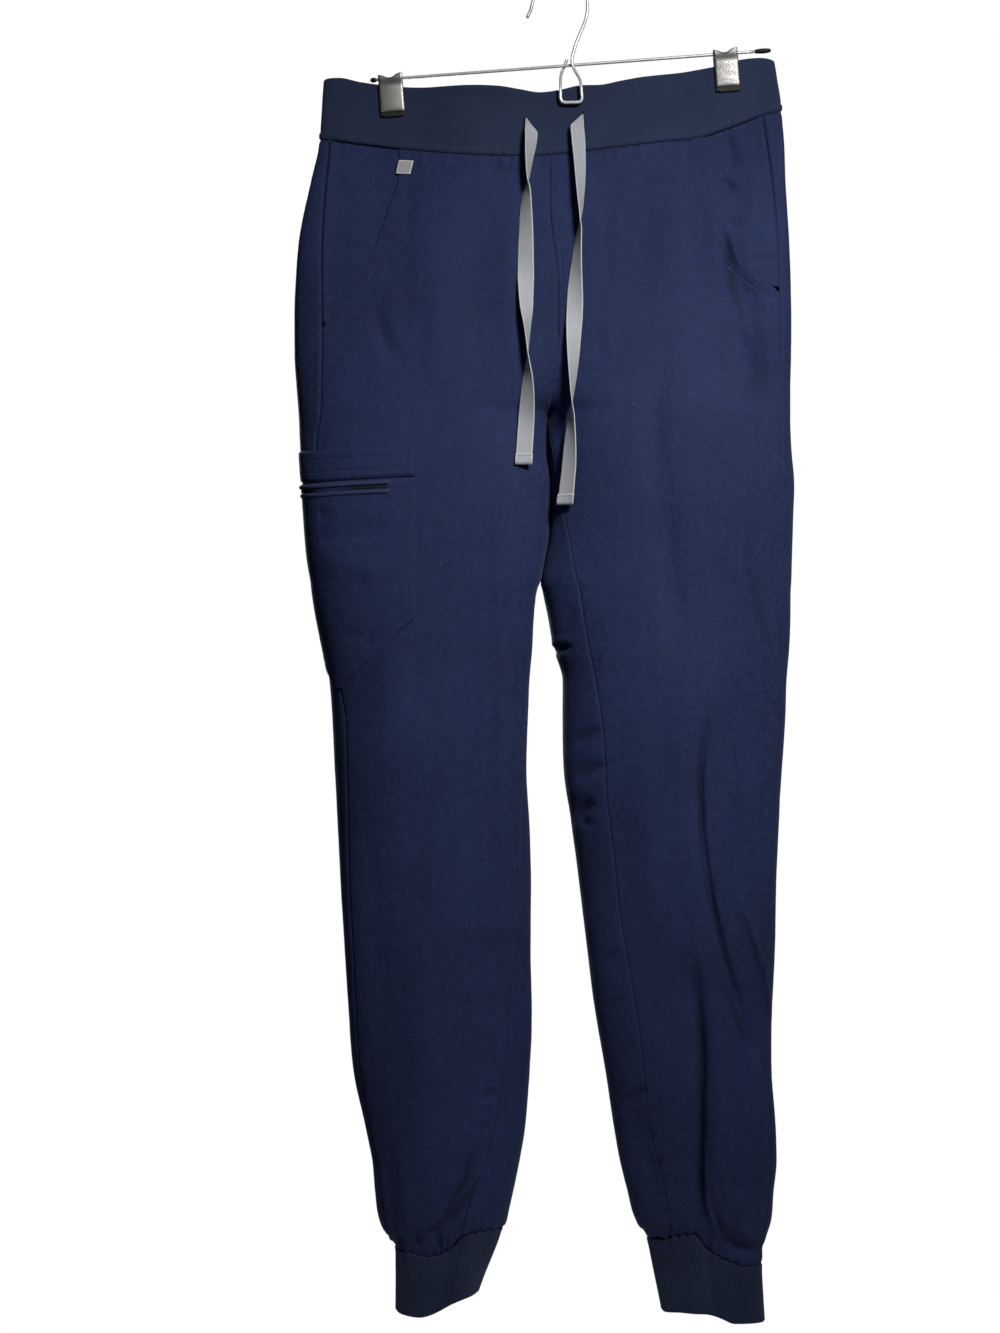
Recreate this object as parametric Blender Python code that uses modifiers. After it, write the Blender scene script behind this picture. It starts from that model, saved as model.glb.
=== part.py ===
"""Scrub joggers hung by the waistband from a wire hanger with two clips.

Lengths are in millimetres until a mesh is made. A place on the cloth is (x, y, depth): x to the
viewer's right, y away from the viewer, depth down from the inside top of the hanger's hook.
"Left" and "right" are the viewer's.
"""

import math

import bpy
import numpy as np

MM = 0.001
GAP = 0.3
WOVEN_WALL = 1.2
KNIT_WALL = 1.6
CUFF_WALL = 1.8
LIP_WALL = 1.1
LABEL_WALL = 1.0
TAPE_WIDTH = 12.7
TAPE_WALL = 1.2

CROTCH_DEPTH = 351.0
LEGS_PART_DEPTH = 480.0
SECTION_STEP = 4.0
SECTION_POINTS = 320
SURFACE_COLUMNS = 120
PANEL_COLUMNS = (("front", 15, 0.5), ("back", 14, 0.55))
ROUNDING = 1.25
EDGE_SHARE = 0.35
SIDE_ON = 0.05
CROTCH_RUN = 60.0
CROTCH_TRIM = 0.12

# A panel's rows. They bend to the waistband's seam above and to the cuff's below.
PANEL_HEAD, HEAD_BEND = 137.0, 200.0
PANEL_FOOT, FOOT_BEND = 1000.0, 900.0
ROW_COLUMNS = ("top", "bottom", "steps")
ROWS = (
    (161, 200, 2), (200, 252, 3), (252, 281, 2), (281, 321, 3), (321, 351, 4), (351, 400, 3),
    (400, 560, 5), (560, 780, 6), (780, 940, 6), (940, 1000, 6),
)

# The waistband and the cuffs gather the cloth: beside them every other column stands proud.
GATHERED_COLUMNS = 27
GATHERED_ROWS = (137, 144, 152)
OUT = {"front": -1, "back": 1}
BAND_GATHER_HEIGHT = 1.1
BAND_GATHER_REACH = 12.0
CUFF_GATHER_HEIGHT = 0.8
CUFF_GATHER_REACH = 9.0
LABEL_CLEARANCE = 14.0
SEAM_TRIM = 0.3
FACING_DROP = 0.25
LABEL_LIFT = 0.5

# The outline of each half, seen from the front.
OUTLINE_COLUMNS = ("depth", "left_out", "left_in", "right_in", "right_out")
OUTLINE = (
    (56, -184, -8, -8, 167),
    (90, -187, -8, -8, 173),
    (115, -188.5, -8, -8, 175.5),
    (137, -190.5, -8, -8, 177),
    (160, -196, -8, -8, 178),
    (185, -201.5, -8, -8, 179.5),
    (212, -206, -5.5, -5.5, 181),
    (240, -208.5, -2, -2, 182),
    (272, -209.5, -1.5, -1.5, 182.5),
    (300, -209.5, -2.5, -2.5, 182.5),
    (325, -208, -7, -7, 182),
    (351, -206, -10, -10, 182),
    (374, -205, -11, -11, 183),
    (400, -203, -8, -8, 185),
    (440, -199, -9, -9, 184),
    (461, -196.5, -12.5, -12.5, 183.5),
    (479, -193.5, -16, -15.6, 183),
    (485, -193, -18, -14, 182.5),
    (509, -190, -21, -9, 182),
    (532, -186, -22, -5, 181),
    (556, -182, -24, 2, 179),
    (580, -180, -25, 2, 178.5),
    (627, -178, -26.5, 3, 175.5),
    (675, -175.5, -24, 10, 173),
    (722, -173, -23, 16, 171),
    (769, -170, -23, 22, 170),
    (817, -167, -22, 28, 167.5),
    (864, -163, -24, 36, 167),
    (912, -152.5, -28, 43, 170.5),
    (935, -148, -32, 47, 171),
    (959, -146, -37, 53, 168.5),
    (983, -142, -43, 60, 166.5),
    (994, -136, -48, 68, 163),
    (1004, -130, -53, 71, 159.5),
    (1022, -130, -56, 74, 159.5),
)

# How far the cloth stands before and behind the hanger's plane, and how blunt its side is.
# "centre" is the share of that depth left at the inner edge: 0 where the leg closes round.
DEPTH_COLUMNS = (
    "depth", "left_front", "left_back", "right_front", "right_back",
    "left_mid", "right_mid", "blunt", "centre_front", "centre_back",
)
DEPTHS = (
    (56, 5.5, 5.5, 5.5, 5.5, 0, 0, 6.0, 1, 1),
    (90, 6.5, 6.5, 6.5, 6.5, 0, 0, 6.0, 1, 1),
    (115, 7.5, 8, 7.5, 8, 0, 0, 5.6, 1, 1),
    (140, 9.5, 11, 9.5, 11, 0, 0, 5.0, 1, 1),
    (180, 16, 19, 16, 19, 0, 0, 4.0, 1, 1),
    (230, 25, 30, 25, 30, 0, 0, 3.4, 1, 1),
    (255, 29, 35, 29, 35, 0, 0, 3.1, 0.997, 0.998),
    (276, 32, 38, 32, 38, 0, 0, 3.0, 0.988, 0.992),
    (300, 35, 42, 35, 42, 0, 1, 2.9, 0.96, 0.97),
    (325, 38, 45, 38, 45, 0, 2, 2.7, 0.80, 0.84),
    (340, 40, 46, 40, 46, 0, 2, 2.6, 0.52, 0.56),
    (351, 41, 47, 41, 47, 0, 2, 2.6, 0, 0),
    (400, 44, 48, 43, 49, -1, 3, 2.6, 0, 0),
    (485, 46, 48, 45, 49, -2, 4, 2.5, 0, 0),
    (580, 47, 47, 45, 49, -2, 5, 2.3, 0, 0),
    (675, 44, 43, 43, 46, -1, 6, 2.2, 0, 0),
    (722, 43, 42, 42, 44, 0, 6, 2.2, 0, 0),
    (817, 39, 41, 39, 43, 0, 5, 2.2, 0, 0),
    (900, 36, 40, 37, 41, 0, 3, 2.2, 0, 0),
    (959, 36, 38, 34, 36, 0, 1, 2.3, 0, 0),
    (983, 33, 34, 27, 28, 0, 0, 2.5, 0, 0),
    (1004, 26, 26, 16, 16, 0, 0, 2.6, 0, 0),
    (1022, 25, 25, 15, 15, 0, 0, 2.6, 0, 0),
)

# Where the seams run over the front face, as (depth, x). Above its first row an inseam lies
# at the leg's inner edge.
LEFT_SIDE_SEAM = (
    (56, -180), (134, -182), (184, -186), (226, -187.5), (289, -186.5), (347, -187.5), (371, -191),
    (414, -188), (493, -180), (561, -172), (592, -167.5), (655, -166.5), (720, -165), (760, -163),
    (812, -160.5), (866, -156.5), (900, -150.5), (935, -143.5), (983, -137), (1022, -127),
)
RIGHT_SIDE_SEAM = (
    (56, 155), (111, 160), (164, 167), (216, 171), (294, 172), (373, 172), (451, 171), (524, 167),
    (629, 164), (734, 160), (786, 160), (850, 161), (935, 164), (983, 160), (1022, 153),
)
LEFT_INSEAM = (
    (560, -24), (603, -27), (655, -30), (708, -32), (760, -36), (812, -40), (861, -44), (905, -52),
    (933, -59), (955, -69), (987, -77), (1022, -80),
)
RIGHT_INSEAM = (
    (351, -10), (372, -5), (426, 4), (469, 12), (513, 19), (588, 32), (651, 36), (690, 41),
    (746, 47), (785, 54), (837, 62), (912, 70), (939, 77), (987, 86), (1022, 88),
)

# Lines across the cloth, as (x, depth).
BAND_TOP = (
    (-190, 84), (-186, 82), (-174, 81), (-158, 84), (-134, 87), (-111, 88.5), (-71, 87), (-47, 88),
    (-32, 90.5), (-16, 93), (0, 91), (16, 87.5), (32, 87), (47, 84), (63, 81), (95, 77),
    (111, 74), (130, 70), (142, 66.5), (158, 65), (169, 67), (176, 70),
)
BAND_SEAM = (
    (-200, 129), (-174, 131.5), (-126, 137), (-80, 142), (-30, 144), (-8, 143), (36, 138),
    (75, 133), (111, 128), (135, 120), (159, 111), (177, 107),
)
LEFT_CUFF_SEAM = (
    (-140, 1000), (-130, 1002), (-105, 1006), (-88, 1001), (-78, 991), (-58, 986), (-45, 987),
)
RIGHT_CUFF_SEAM = (
    (62, 996), (81, 993), (104, 989), (116, 1003), (132, 1012), (149, 1017), (170, 1014),
)
LEFT_CUFF_HEM = (
    (-130, 1053), (-112, 1054), (-100, 1051), (-90, 1045), (-80, 1041), (-64, 1038),
)
RIGHT_CUFF_HEM = (
    (80, 1054), (95, 1052), (112, 1052), (126, 1057), (137, 1061.5), (162, 1062),
)

# Hip pocket openings, as (depth, x), from the waistband seam to the side seam.
LEFT_OPENING = (
    (120, -126.5), (141, -127), (164, -128), (184, -135), (208, -142), (231, -152), (244, -161),
    (260, -171), (281, -186.5),
)
RIGHT_OPENING = (
    (100, 110), (126, 114), (148, 118), (171, 123), (198, 130), (218, 137), (231, 143), (239, 153),
    (252, 171.4),
)
FACING_LAP = 16.0

# Folds run along a line of four places. A negative height is a trough.
FOLD_COLUMNS = (
    "half", "face", "x1", "depth1", "x2", "depth2", "x3", "depth3", "x4", "depth4", "width", "height",
)
FOLDS = (
    ("right", "front", 83, 294, 72, 360, 78, 420, 91, 525, 13, -2.0),
    ("right", "front", 112, 585, 107, 650, 118, 730, 139, 812, 11, -4.0),
    ("right", "front", 137, 716, 149, 750, 158, 782, 163, 812, 9, 3.0),
    ("right", "front", 104, 790, 110, 853, 109, 938, 110, 985, 11, -8.0),
    ("right", "front", 127, 790, 136, 815, 144, 835, 150, 855, 9, -3.0),
    ("right", "front", 113, 950, 118, 972, 124, 985, 134, 998, 8, -3.0),
    ("right", "front", 130, 212, 146, 256, 155, 300, 162, 376, 10, -5.5),
    ("right", "front", 148, 430, 152, 460, 156, 490, 160, 520, 10, -2.0),
    ("left", "front", -58, 440, -58, 551, -55, 690, -56, 800, 16, -4.5),
    ("left", "front", -44, 560, -44, 620, -42, 700, -42, 780, 12, 2.0),
    ("left", "front", -76, 955, -88, 972, -100, 984, -117, 994, 9, -3.0),
    ("left", "front", -147, 262, -141, 280, -135, 295, -129, 310, 9, -1.5),
    ("left", "front", -110, 560, -118, 640, -122, 720, -124, 800, 24, -2.0),
    ("left", "front", -134, 130, -136, 170, -139, 215, -142, 262, 20, -2.0),
    ("right", "front", 52, 880, 60, 905, 66, 930, 74, 960, 9, -2.5),
    ("left", "back", -96, 150, -92, 230, -86, 310, -82, 400, 17, -3.5),
    ("right", "back", 84, 144, 76, 225, 70, 300, 66, 390, 15, -3.5),
    ("left", "back", -48, 160, -46, 210, -47, 260, -50, 300, 12, -2.0),
    ("right", "back", 140, 150, 138, 220, 134, 290, 130, 370, 13, -2.5),
    ("left", "back", -135, 420, -120, 500, -112, 600, -110, 690, 18, -4.0),
    ("right", "back", 128, 420, 112, 500, 100, 600, 96, 690, 18, -4.0),
    ("left", "back", -150, 690, -120, 706, -90, 712, -60, 704, 11, -3.0),
    ("right", "back", 150, 690, 120, 704, 90, 712, 55, 706, 11, -3.0),
    ("left", "back", -120, 850, -112, 900, -106, 950, -100, 990, 11, -5.0),
    ("right", "back", 128, 850, 124, 900, 122, 950, 120, 990, 11, -5.0),
)

# The right hip pocket gapes: the front's cut edge stands off its facing.
GAPE_DEPTH = 196.0
GAPE_REACH = 46.0
GAPE_WIDTH = 26.0
GAPE_HEIGHT = 6.5

# The waistband's and the cuffs' own columns are taken where they meet the panels.
BAND_MIDDLE = 110.0
BAND_FOOT = {"left": 137.0, "right": 125.0}
BAND_ROWS = 5
FACING_COLUMNS = (0.25, 0.5, 0.75, 1.0)
CUFF_HEAD = 1000.0
CUFF_ROWS = 4

# Cargo pocket, wrapped round the left side seam.
CARGO_EDGE_X = -112.5
CARGO_TOP = 371.0
CARGO_BAND_SEAM = 399.0
CARGO_CORNER = 507.0
CARGO_FOOT = 560.0
CARGO_PUFF = 2.0
ZIP_END_X = -132.0
LIP_TOP = 400.5
ZIP_TOP = 404.6
ZIP_BOTTOM = 406.9
LIP_BOTTOM = 411.0
ZIP_LIFT = 0.5

LABEL_LEFT, LABEL_RIGHT = -126.5, -114.5
LABEL_TOP, LABEL_BOTTOM = 146.0, 157.5

# Drawstrings, as rows down the tape. "turn" is the twist of its face away from the viewer.
STRING_COLUMNS = ("x", "depth", "turn", "lift")
LEFT_STRING = (
    (-26, 116, 0, 1.0), (-23, 130, -25, 2.0), (-23.5, 142, -38, 3.5), (-26, 160, -52, 4.5),
    (-27.5, 180, -58, 4.0), (-28, 205, -45, 3.5), (-28, 232, -18, 3.0), (-28, 256, -20, 3.0),
    (-26.5, 285, -48, 3.5), (-25, 312, -60, 4.0), (-26, 338, -30, 4.0), (-28, 360, 0, 4.0),
    (-28.5, 384, 6, 4.0),
)
RIGHT_STRING = (
    (16.5, 112, 0, 1.0), (13.5, 126, 22, 2.0), (13.5, 142, 36, 3.0), (13.5, 165, 55, 4.0),
    (14.5, 190, 62, 4.5), (14, 212, 45, 4.0), (11.5, 236, 22, 3.5), (10.5, 262, 10, 3.0),
    (9, 290, 30, 3.0), (8, 318, 58, 3.5), (7.5, 344, 60, 4.0), (7.5, 366, 35, 4.0),
    (6, 392, 14, 4.0), (4, 415, 6, 4.0),
)
STRING_STEP = 11.0

# Hanger: one wire makes the hook and the loop below the bar.
HOOK_WIRE = 2.6
HOOK_RADIUS = 21.5
HOOK_COLUMNS = ("x", "y", "depth")
HOOK_FREE_END = ((-26, 0, 33), (-23.4, 0, 27.5))
HOOK_SHANK = (
    (20.6, 0, 33), (17.6, 0, 41.5), (14, -0.6, 50), (11, -2, 59), (9.3, -3, 66), (9.6, -3.1, 71),
    (12.2, -4.2, 77), (15, -7.2, 83), (16.2, -10.6, 89), (16.5, -11.4, 95),
)
LOOP_FLOOR = (
    (14.6, -11.4, 100), (10, -11.4, 101.2), (5, -11.4, 100.6), (1.4, -11.4, 98.2),
    (0, -11.2, 94), (0, -9.6, 88), (0.2, -4.6, 81.5), (1.2, 0.6, 76.6), (3, 3, 71.6), (5.5, 3, 65.5),
)
BAR_WIRE = 2.4
BAR_CENTRE = (4.0, 71.0)
BAR_FALL = -0.075
BAR_LEFT, BAR_RIGHT = -145.0, 153.7
TIP_WIDTH = 4.0
TIP_LEFT_LENGTH, TIP_RIGHT_LENGTH = 4.0, 12.0

# Clips: folded steel plates that grip the band between vinyl lips.
CLIP_COLUMNS = ("name", "x")
CLIPS = (("left", -134.0), ("right", 130.5))
CLIP_WIDTH = 19.0
CLIP_LENGTH = 25.0
CLIP_SHEET = 0.9
CLIP_KNUCKLE = 12.0
CLIP_SHOULDER = 5.0
PAD_TOP = 7.0
PAD_WIDTH = 18.4
PAD_THICKNESS = 1.2
PAD_DROP = 3.0
PINCHED_HALF = 1.95
PINCH_FLAT = 12.5
PINCH_FADE = 34.0
PINCH_FALL = 62.0

NAVY = (0.016, 0.030, 0.085, 1)
KNIT_NAVY = (0.015, 0.034, 0.070, 1)
SEAM_NAVY = (0.012, 0.022, 0.060, 1)
TAPE_GREY = (0.28, 0.29, 0.31, 1)
LABEL_GREY = (0.42, 0.38, 0.36, 1)
STEEL = (0.42, 0.41, 0.39, 1)
WIRE_STEEL = (0.55, 0.54, 0.52, 1)
VINYL_BLACK = (0.012, 0.012, 0.012, 1)


def column(table, names, name):
    return np.array([row[names.index(name)] for row in table], float)


def smooth(places, values, at):
    """A curve through the values, with no overshoot between rows."""
    places, values = np.asarray(places, float), np.asarray(values, float)
    at = np.clip(at, places[0], places[-1])
    step = np.diff(places)
    rise = np.diff(values) / step
    slope = np.concatenate([rise[:1], (rise[1:] + rise[:-1]) / 2, rise[-1:]])
    flat = rise[1:] * rise[:-1] <= 0
    slope[1:-1][flat] = 0
    most = 2.5 * np.minimum(np.abs(np.append(rise, rise[-1])), np.abs(np.append(rise[0], rise)))
    slope = np.clip(slope, -most, most)
    i = np.clip(np.searchsorted(places, at, side="right") - 1, 0, len(step) - 1)
    u = (at - places[i]) / step[i]
    return (
        values[i] * (1 + 2 * u) * (1 - u) ** 2
        + slope[i] * step[i] * u * (1 - u) ** 2
        + values[i + 1] * u**2 * (3 - 2 * u)
        - slope[i + 1] * step[i] * u**2 * (1 - u)
    )


def along(line, at):
    line = np.array(line, float)
    return smooth(line[:, 0], line[:, 1], at)


def outline(name, depth):
    depths = column(OUTLINE, OUTLINE_COLUMNS, "depth")
    return smooth(depths, column(OUTLINE, OUTLINE_COLUMNS, name), depth)


def sizes(name, depth):
    depths = column(DEPTHS, DEPTH_COLUMNS, "depth")
    return smooth(depths, column(DEPTHS, DEPTH_COLUMNS, name), depth)


def bell(distance, width):
    return np.exp(-((distance / width) ** 2))


def from_line(x, depth, places):
    """The distance from each place to a line through the given ones, and the share along it."""
    nearest = np.full(np.shape(x), 1e9)
    share = np.zeros(np.shape(x))
    spans = list(zip(places[:-1], places[1:]))
    for n, ((xa, da), (xb, db)) in enumerate(spans):
        run = (xb - xa) ** 2 + (db - da) ** 2
        u = np.clip(((x - xa) * (xb - xa) + (depth - da) * (db - da)) / run, 0, 1)
        away = np.hypot(x - xa - u * (xb - xa), depth - da - u * (db - da))
        closer = away < nearest
        share = np.where(closer, (n + u) / len(spans), share)
        nearest = np.where(closer, away, nearest)
    return nearest, share


def fold_height(half, face, x, depth):
    total = np.zeros(np.shape(x))
    for row in FOLDS:
        fold = dict(zip(FOLD_COLUMNS, row))
        if fold["half"] != half or fold["face"] != face:
            continue
        places = [(fold[f"x{n}"], fold[f"depth{n}"]) for n in (1, 2, 3, 4)]
        away, share = from_line(x, depth, places)
        fade = np.sin(np.pi * np.clip(share * 0.96 + 0.02, 0, 1)) ** 0.5
        total += fold["height"] * fade * bell(away, fold["width"])
    return total


def bar_depth(x):
    return BAR_CENTRE[1] + BAR_FALL * (x - BAR_CENTRE[0])


def pinch(x, depth):
    """How far the clips close the band at a place, from 0 to 1."""
    total = np.zeros(np.shape(x))
    for _, clip_x in CLIPS:
        foot = bar_depth(clip_x) + CLIP_LENGTH + PAD_DROP + 2
        beside = np.clip(np.abs(x - clip_x) - PINCH_FLAT, 0, None)
        below = np.clip(depth - foot, 0, None)
        total = np.maximum(total, bell(beside, PINCH_FADE) * bell(below, PINCH_FALL))
    return total


class Section:
    """One half of the cloth at one depth, from its inner front edge round the side to the back."""

    def __init__(self, half, depth):
        inner = outline(f"{half}_in", depth)
        outer = outline(f"{half}_out", depth)
        sign = -1 if half == "left" else 1
        if depth < LEGS_PART_DEPTH:
            inner = inner + sign * (GAP / 2 + CROTCH_TRIM * (depth > CROTCH_DEPTH - CROTCH_RUN))
        mid = sizes(f"{half}_mid", depth)
        blunt = sizes("blunt", depth)
        across = min(1.0, 2 / blunt * ROUNDING)
        spread = (1 - np.linspace(0, 1, SECTION_POINTS)) ** 2
        parts = []
        for face, side in (("front", -1), ("back", 1)):
            reach = sizes(f"{half}_{face}", depth)
            centre_share = sizes(f"centre_{face}", depth)
            power = 2 / blunt
            turn = math.pi - math.asin(min(1, centre_share) ** (1 / power))
            k = abs(math.cos(turn)) ** across
            middle = (inner + k * outer) / (1 + k)
            angle = turn * spread
            x = middle + (outer - middle) * np.sign(np.cos(angle)) * np.abs(np.cos(angle)) ** across
            y = mid + side * reach * np.abs(np.sin(angle)) ** power
            near_tip = np.clip(np.abs(y - mid) / (EDGE_SHARE * reach), 0, 1)
            push = fold_height(half, face, x, depth) * near_tip
            rim = pinch(x, depth)
            y = np.where(
                np.abs(y) > PINCHED_HALF, y + rim * (side * PINCHED_HALF - y), y
            )
            slope_x, slope_y = np.gradient(x), np.gradient(y)
            size = np.hypot(slope_x, slope_y) + 1e-9
            out_x, out_y = slope_y / size, -slope_x / size
            facing = np.sign(out_y * side + 1e-9)
            facing = np.where(np.abs(out_y) < SIDE_ON, np.sign(out_x * (x - middle)), facing)
            parts.append((x + push * facing * out_x, y + push * facing * out_y))
        front, back = parts
        self.x = np.concatenate([front[0], back[0][::-1][1:]])
        self.y = np.concatenate([front[1], back[1][::-1][1:]])
        self.front_count = len(front[0])
        self.length = np.concatenate(
            [[0], np.cumsum(np.hypot(np.diff(self.x), np.diff(self.y)))]
        )
        self.half = half
        self.depth = depth
        self.side_seam = self.place_of(along(self.seam_table("side"), depth))
        self.inseam = 0.0
        table = np.array(self.seam_table("in"), float)
        if depth > table[0, 0]:
            self.inseam = self.place_of(along(table, depth))

    def seam_table(self, which):
        if self.half == "left":
            return LEFT_SIDE_SEAM if which == "side" else LEFT_INSEAM
        return RIGHT_SIDE_SEAM if which == "side" else RIGHT_INSEAM

    def place_of(self, x):
        """The length along the front at which the section passes x."""
        sign = -1 if self.half == "left" else 1
        front_x = self.x[: self.front_count] * sign
        front_x = np.maximum.accumulate(front_x)
        return float(np.interp(x * sign, front_x, self.length[: self.front_count]))

    def at(self, length):
        total = self.length[-1]
        if self.depth > CROTCH_DEPTH:
            length = np.mod(length, total)
        return np.interp(length, self.length, self.x), np.interp(length, self.length, self.y)


class Surface:
    """A panel's outer face: rows down the garment, each with even steps from inner to side seam."""

    def __init__(self, half, face):
        self.depths = np.arange(56, 1024, SECTION_STEP)
        self.share = np.linspace(0, 1, SURFACE_COLUMNS)
        rows, self.widths = [], []
        for depth in self.depths:
            cut = Section(half, depth)
            total = cut.length[-1]
            if face == "front":
                start, end = cut.inseam, cut.side_seam
            else:
                start, end = total + cut.inseam, cut.side_seam
            x, y = cut.at(start + (end - start) * self.share)
            rows.append(np.stack([x, y], 1))
            self.widths.append(abs(end - start))
        self.rows = np.array(rows)
        self.widths = np.array(self.widths)

    def width(self, depth):
        return np.interp(depth, self.depths, self.widths)

    def at(self, share, depth):
        """Places on the face, as an array of (x, y, depth)."""
        share, depth = np.broadcast_arrays(np.asarray(share, float), np.asarray(depth, float))
        row = np.clip((depth - self.depths[0]) / SECTION_STEP, 0, len(self.depths) - 1.001)
        col = np.clip(share, 0, 1) * (SURFACE_COLUMNS - 1.001)
        i, j = row.astype(int), col.astype(int)
        u, v = (row - i)[..., None], (col - j)[..., None]
        spot = (self.rows[i, j] * (1 - v) + self.rows[i, j + 1] * v) * (1 - u) + (
            self.rows[i + 1, j] * (1 - v) + self.rows[i + 1, j + 1] * v
        ) * u
        return np.concatenate([spot, depth[..., None]], -1)

    def share_of(self, x, depth):
        """The share at which the face passes x."""
        row = self.at(self.share, np.full(SURFACE_COLUMNS, depth))[:, 0]
        order = row if row[-1] > row[0] else -row
        target = x if row[-1] > row[0] else -x
        return float(np.interp(target, np.maximum.accumulate(order), self.share))


def seam_trim(surface, share, depth):
    """Keeps a panel's edges off its seams. The halves are already parted down the middle."""
    edge = SEAM_TRIM / surface.width(depth)
    inner = edge * np.clip((depth - CROTCH_DEPTH + 30) / 30, 0, 1)
    return inner + share * (1 - inner - edge)


def outward(grid, middle):
    """Unit vectors square to a grid of places, away from the given middle."""
    down = np.gradient(grid, axis=0)
    over = np.gradient(grid, axis=1)
    normal = np.cross(down, over)
    normal /= np.linalg.norm(normal, axis=-1, keepdims=True) + 1e-12
    away = (grid - middle)[..., :2]
    turned = np.sum(normal[..., :2] * away, -1).sum() < 0
    return -normal if turned else normal


def new_material(name, colour, roughness, metallic=0.0):
    material = bpy.data.materials.new(name)
    material.use_nodes = True
    shader = material.node_tree.nodes["Principled BSDF"]
    shader.inputs["Base Color"].default_value = colour
    shader.inputs["Roughness"].default_value = roughness
    shader.inputs["Metallic"].default_value = metallic
    return material


def add_mesh(name, grid, faces, material, wall):
    """A shell: the outer face, with its wall made inwards."""
    places = grid.reshape(-1, 3) * MM
    places[:, 2] *= -1
    mesh = bpy.data.meshes.new(name)
    mesh.from_pydata(places.tolist(), [], faces)
    mesh.materials.append(material)
    item = bpy.data.objects.new(name, mesh)
    garment.objects.link(item)
    solid = item.modifiers.new("Wall", "SOLIDIFY")
    solid.thickness = wall * MM
    solid.offset = -1
    solid.use_even_offset = False
    return item


def grid_faces(rows, columns, closed=False, keep=None):
    faces = []
    for i in range(rows - 1):
        for j in range(columns if closed else columns - 1):
            if keep is not None and not keep(i, j):
                continue
            k = (j + 1) % columns
            a, b = i * columns, (i + 1) * columns
            faces.append((a + j, b + j, b + k, a + k))
    return faces


def faces_inwards(grid, middle):
    """Whether a grid's faces, in their own order, look at the garment's middle."""
    corner = grid[:-1, :-1].reshape(-1, 3)
    down = (grid[1:, :-1] - grid[:-1, :-1]).reshape(-1, 3)
    over = (grid[:-1, 1:] - grid[:-1, :-1]).reshape(-1, 3)
    normal = np.cross(down, over)
    # Depth points down, so the cross product turns round once the grid is in the world's axes.
    centre = np.broadcast_to(middle, grid.shape)[:-1, :-1].reshape(-1, 3)
    return np.sum(normal[:, :2] * (corner - centre)[:, :2]) > 0


def add_sheet(name, grid, material, wall, middle, closed=False):
    """A panel from its grid of places. The faces look away from the garment's middle."""
    rows, columns = grid.shape[:2]
    faces = grid_faces(rows, columns, closed)
    if faces_inwards(grid, middle):
        faces = [face[::-1] for face in faces]
    return add_mesh(name, grid, faces, material, wall)


def bridge(upper, upper_start, lower, lower_start):
    """Triangles between two rows of different counts, given each row's shares from 0 to 1."""
    faces = []
    i = j = 0
    while i < len(upper) - 1 or j < len(lower) - 1:
        a, b = upper_start + i, lower_start + j
        next_upper = upper[i + 1] if i < len(upper) - 1 else 2.0
        next_lower = lower[j + 1] if j < len(lower) - 1 else 2.0
        if next_upper <= next_lower:
            faces.append((a, b, a + 1))
            i += 1
        else:
            faces.append((a, b, b + 1))
            j += 1
    return faces


def leg_middle(half, depth):
    inner, outer = outline(f"{half}_in", depth), outline(f"{half}_out", depth)
    return np.stack([(inner + outer) / 2, 0 * depth, depth], -1)


def row_levels():
    """Depths of a panel's rows: closer where the shape changes fast."""
    levels = []
    for row in ROWS:
        top, bottom, steps = (row[ROW_COLUMNS.index(name)] for name in ROW_COLUMNS)
        levels += [top + (bottom - top) * n / steps for n in range(steps)]
    return np.array(levels + [PANEL_FOOT])


def panel_depths(half, x, levels):
    """Each place's depth: level rows, bent to the waistband's seam above and the cuff's below."""
    cuff_seam = LEFT_CUFF_SEAM if half == "left" else RIGHT_CUFF_SEAM
    share_top = np.clip((HEAD_BEND - levels) / (HEAD_BEND - PANEL_HEAD), 0, 1)[:, None]
    share_bottom = np.clip((levels - FOOT_BEND) / (PANEL_FOOT - FOOT_BEND), 0, 1)[:, None]
    return (
        levels[:, None]
        + (along(BAND_SEAM, x) + GAP / 2 - PANEL_HEAD) * share_top
        + (along(cuff_seam, x) - GAP / 2 - PANEL_FOOT) * share_bottom
    )


def panel_grid(half, face, levels, shares):
    """A grid over a panel whose right or left edge may be a pocket's opening."""
    surface = SURFACES[half, face]
    opening = LEFT_OPENING if half == "left" else RIGHT_OPENING
    level_grid = np.repeat(levels[:, None], len(shares), 1)
    share_grid = np.repeat(shares[None, :], len(levels), 0)
    depth = level_grid
    for _ in range(3):
        share = seam_trim(surface, share_grid, depth)
        if face == "front":
            for i in range(len(levels)):
                foot = depth[i, -1]
                if foot < opening[-1][0]:
                    edge = surface.share_of(along(opening, foot), foot)
                    share[i] = share[i] * edge
        x = surface.at(share, depth)[..., 0]
        depth = panel_depths(half, x, levels)
    return surface.at(share, depth)


def column_shares(count, crowd):
    """Shares across a panel, crowded towards both edges."""
    even = np.linspace(0, 1, count)
    return even - crowd * np.sin(2 * math.pi * even) / (2 * math.pi)


def gape(x, depth):
    """How far the right front stands off at its pocket opening."""
    edge = along(RIGHT_OPENING, depth)
    return GAPE_HEIGHT * bell(x - edge, GAPE_WIDTH) * bell(depth - GAPE_DEPTH, GAPE_REACH)


def band_gather(x, depth, share):
    """How far a gather at the waistband's seam stands proud, clear of the label and the seams."""
    fade = np.clip(np.sin(math.pi * np.clip(share, 0, 1)), 0, 1) ** 0.5
    label = (LABEL_LEFT + LABEL_RIGHT) / 2
    clear = 1 - bell(np.clip(np.abs(x - label) - LABEL_CLEARANCE, 0, None), LABEL_CLEARANCE / 3)
    return BAND_GATHER_HEIGHT * fade * clear * bell(depth - along(BAND_SEAM, x), BAND_GATHER_REACH)


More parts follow.
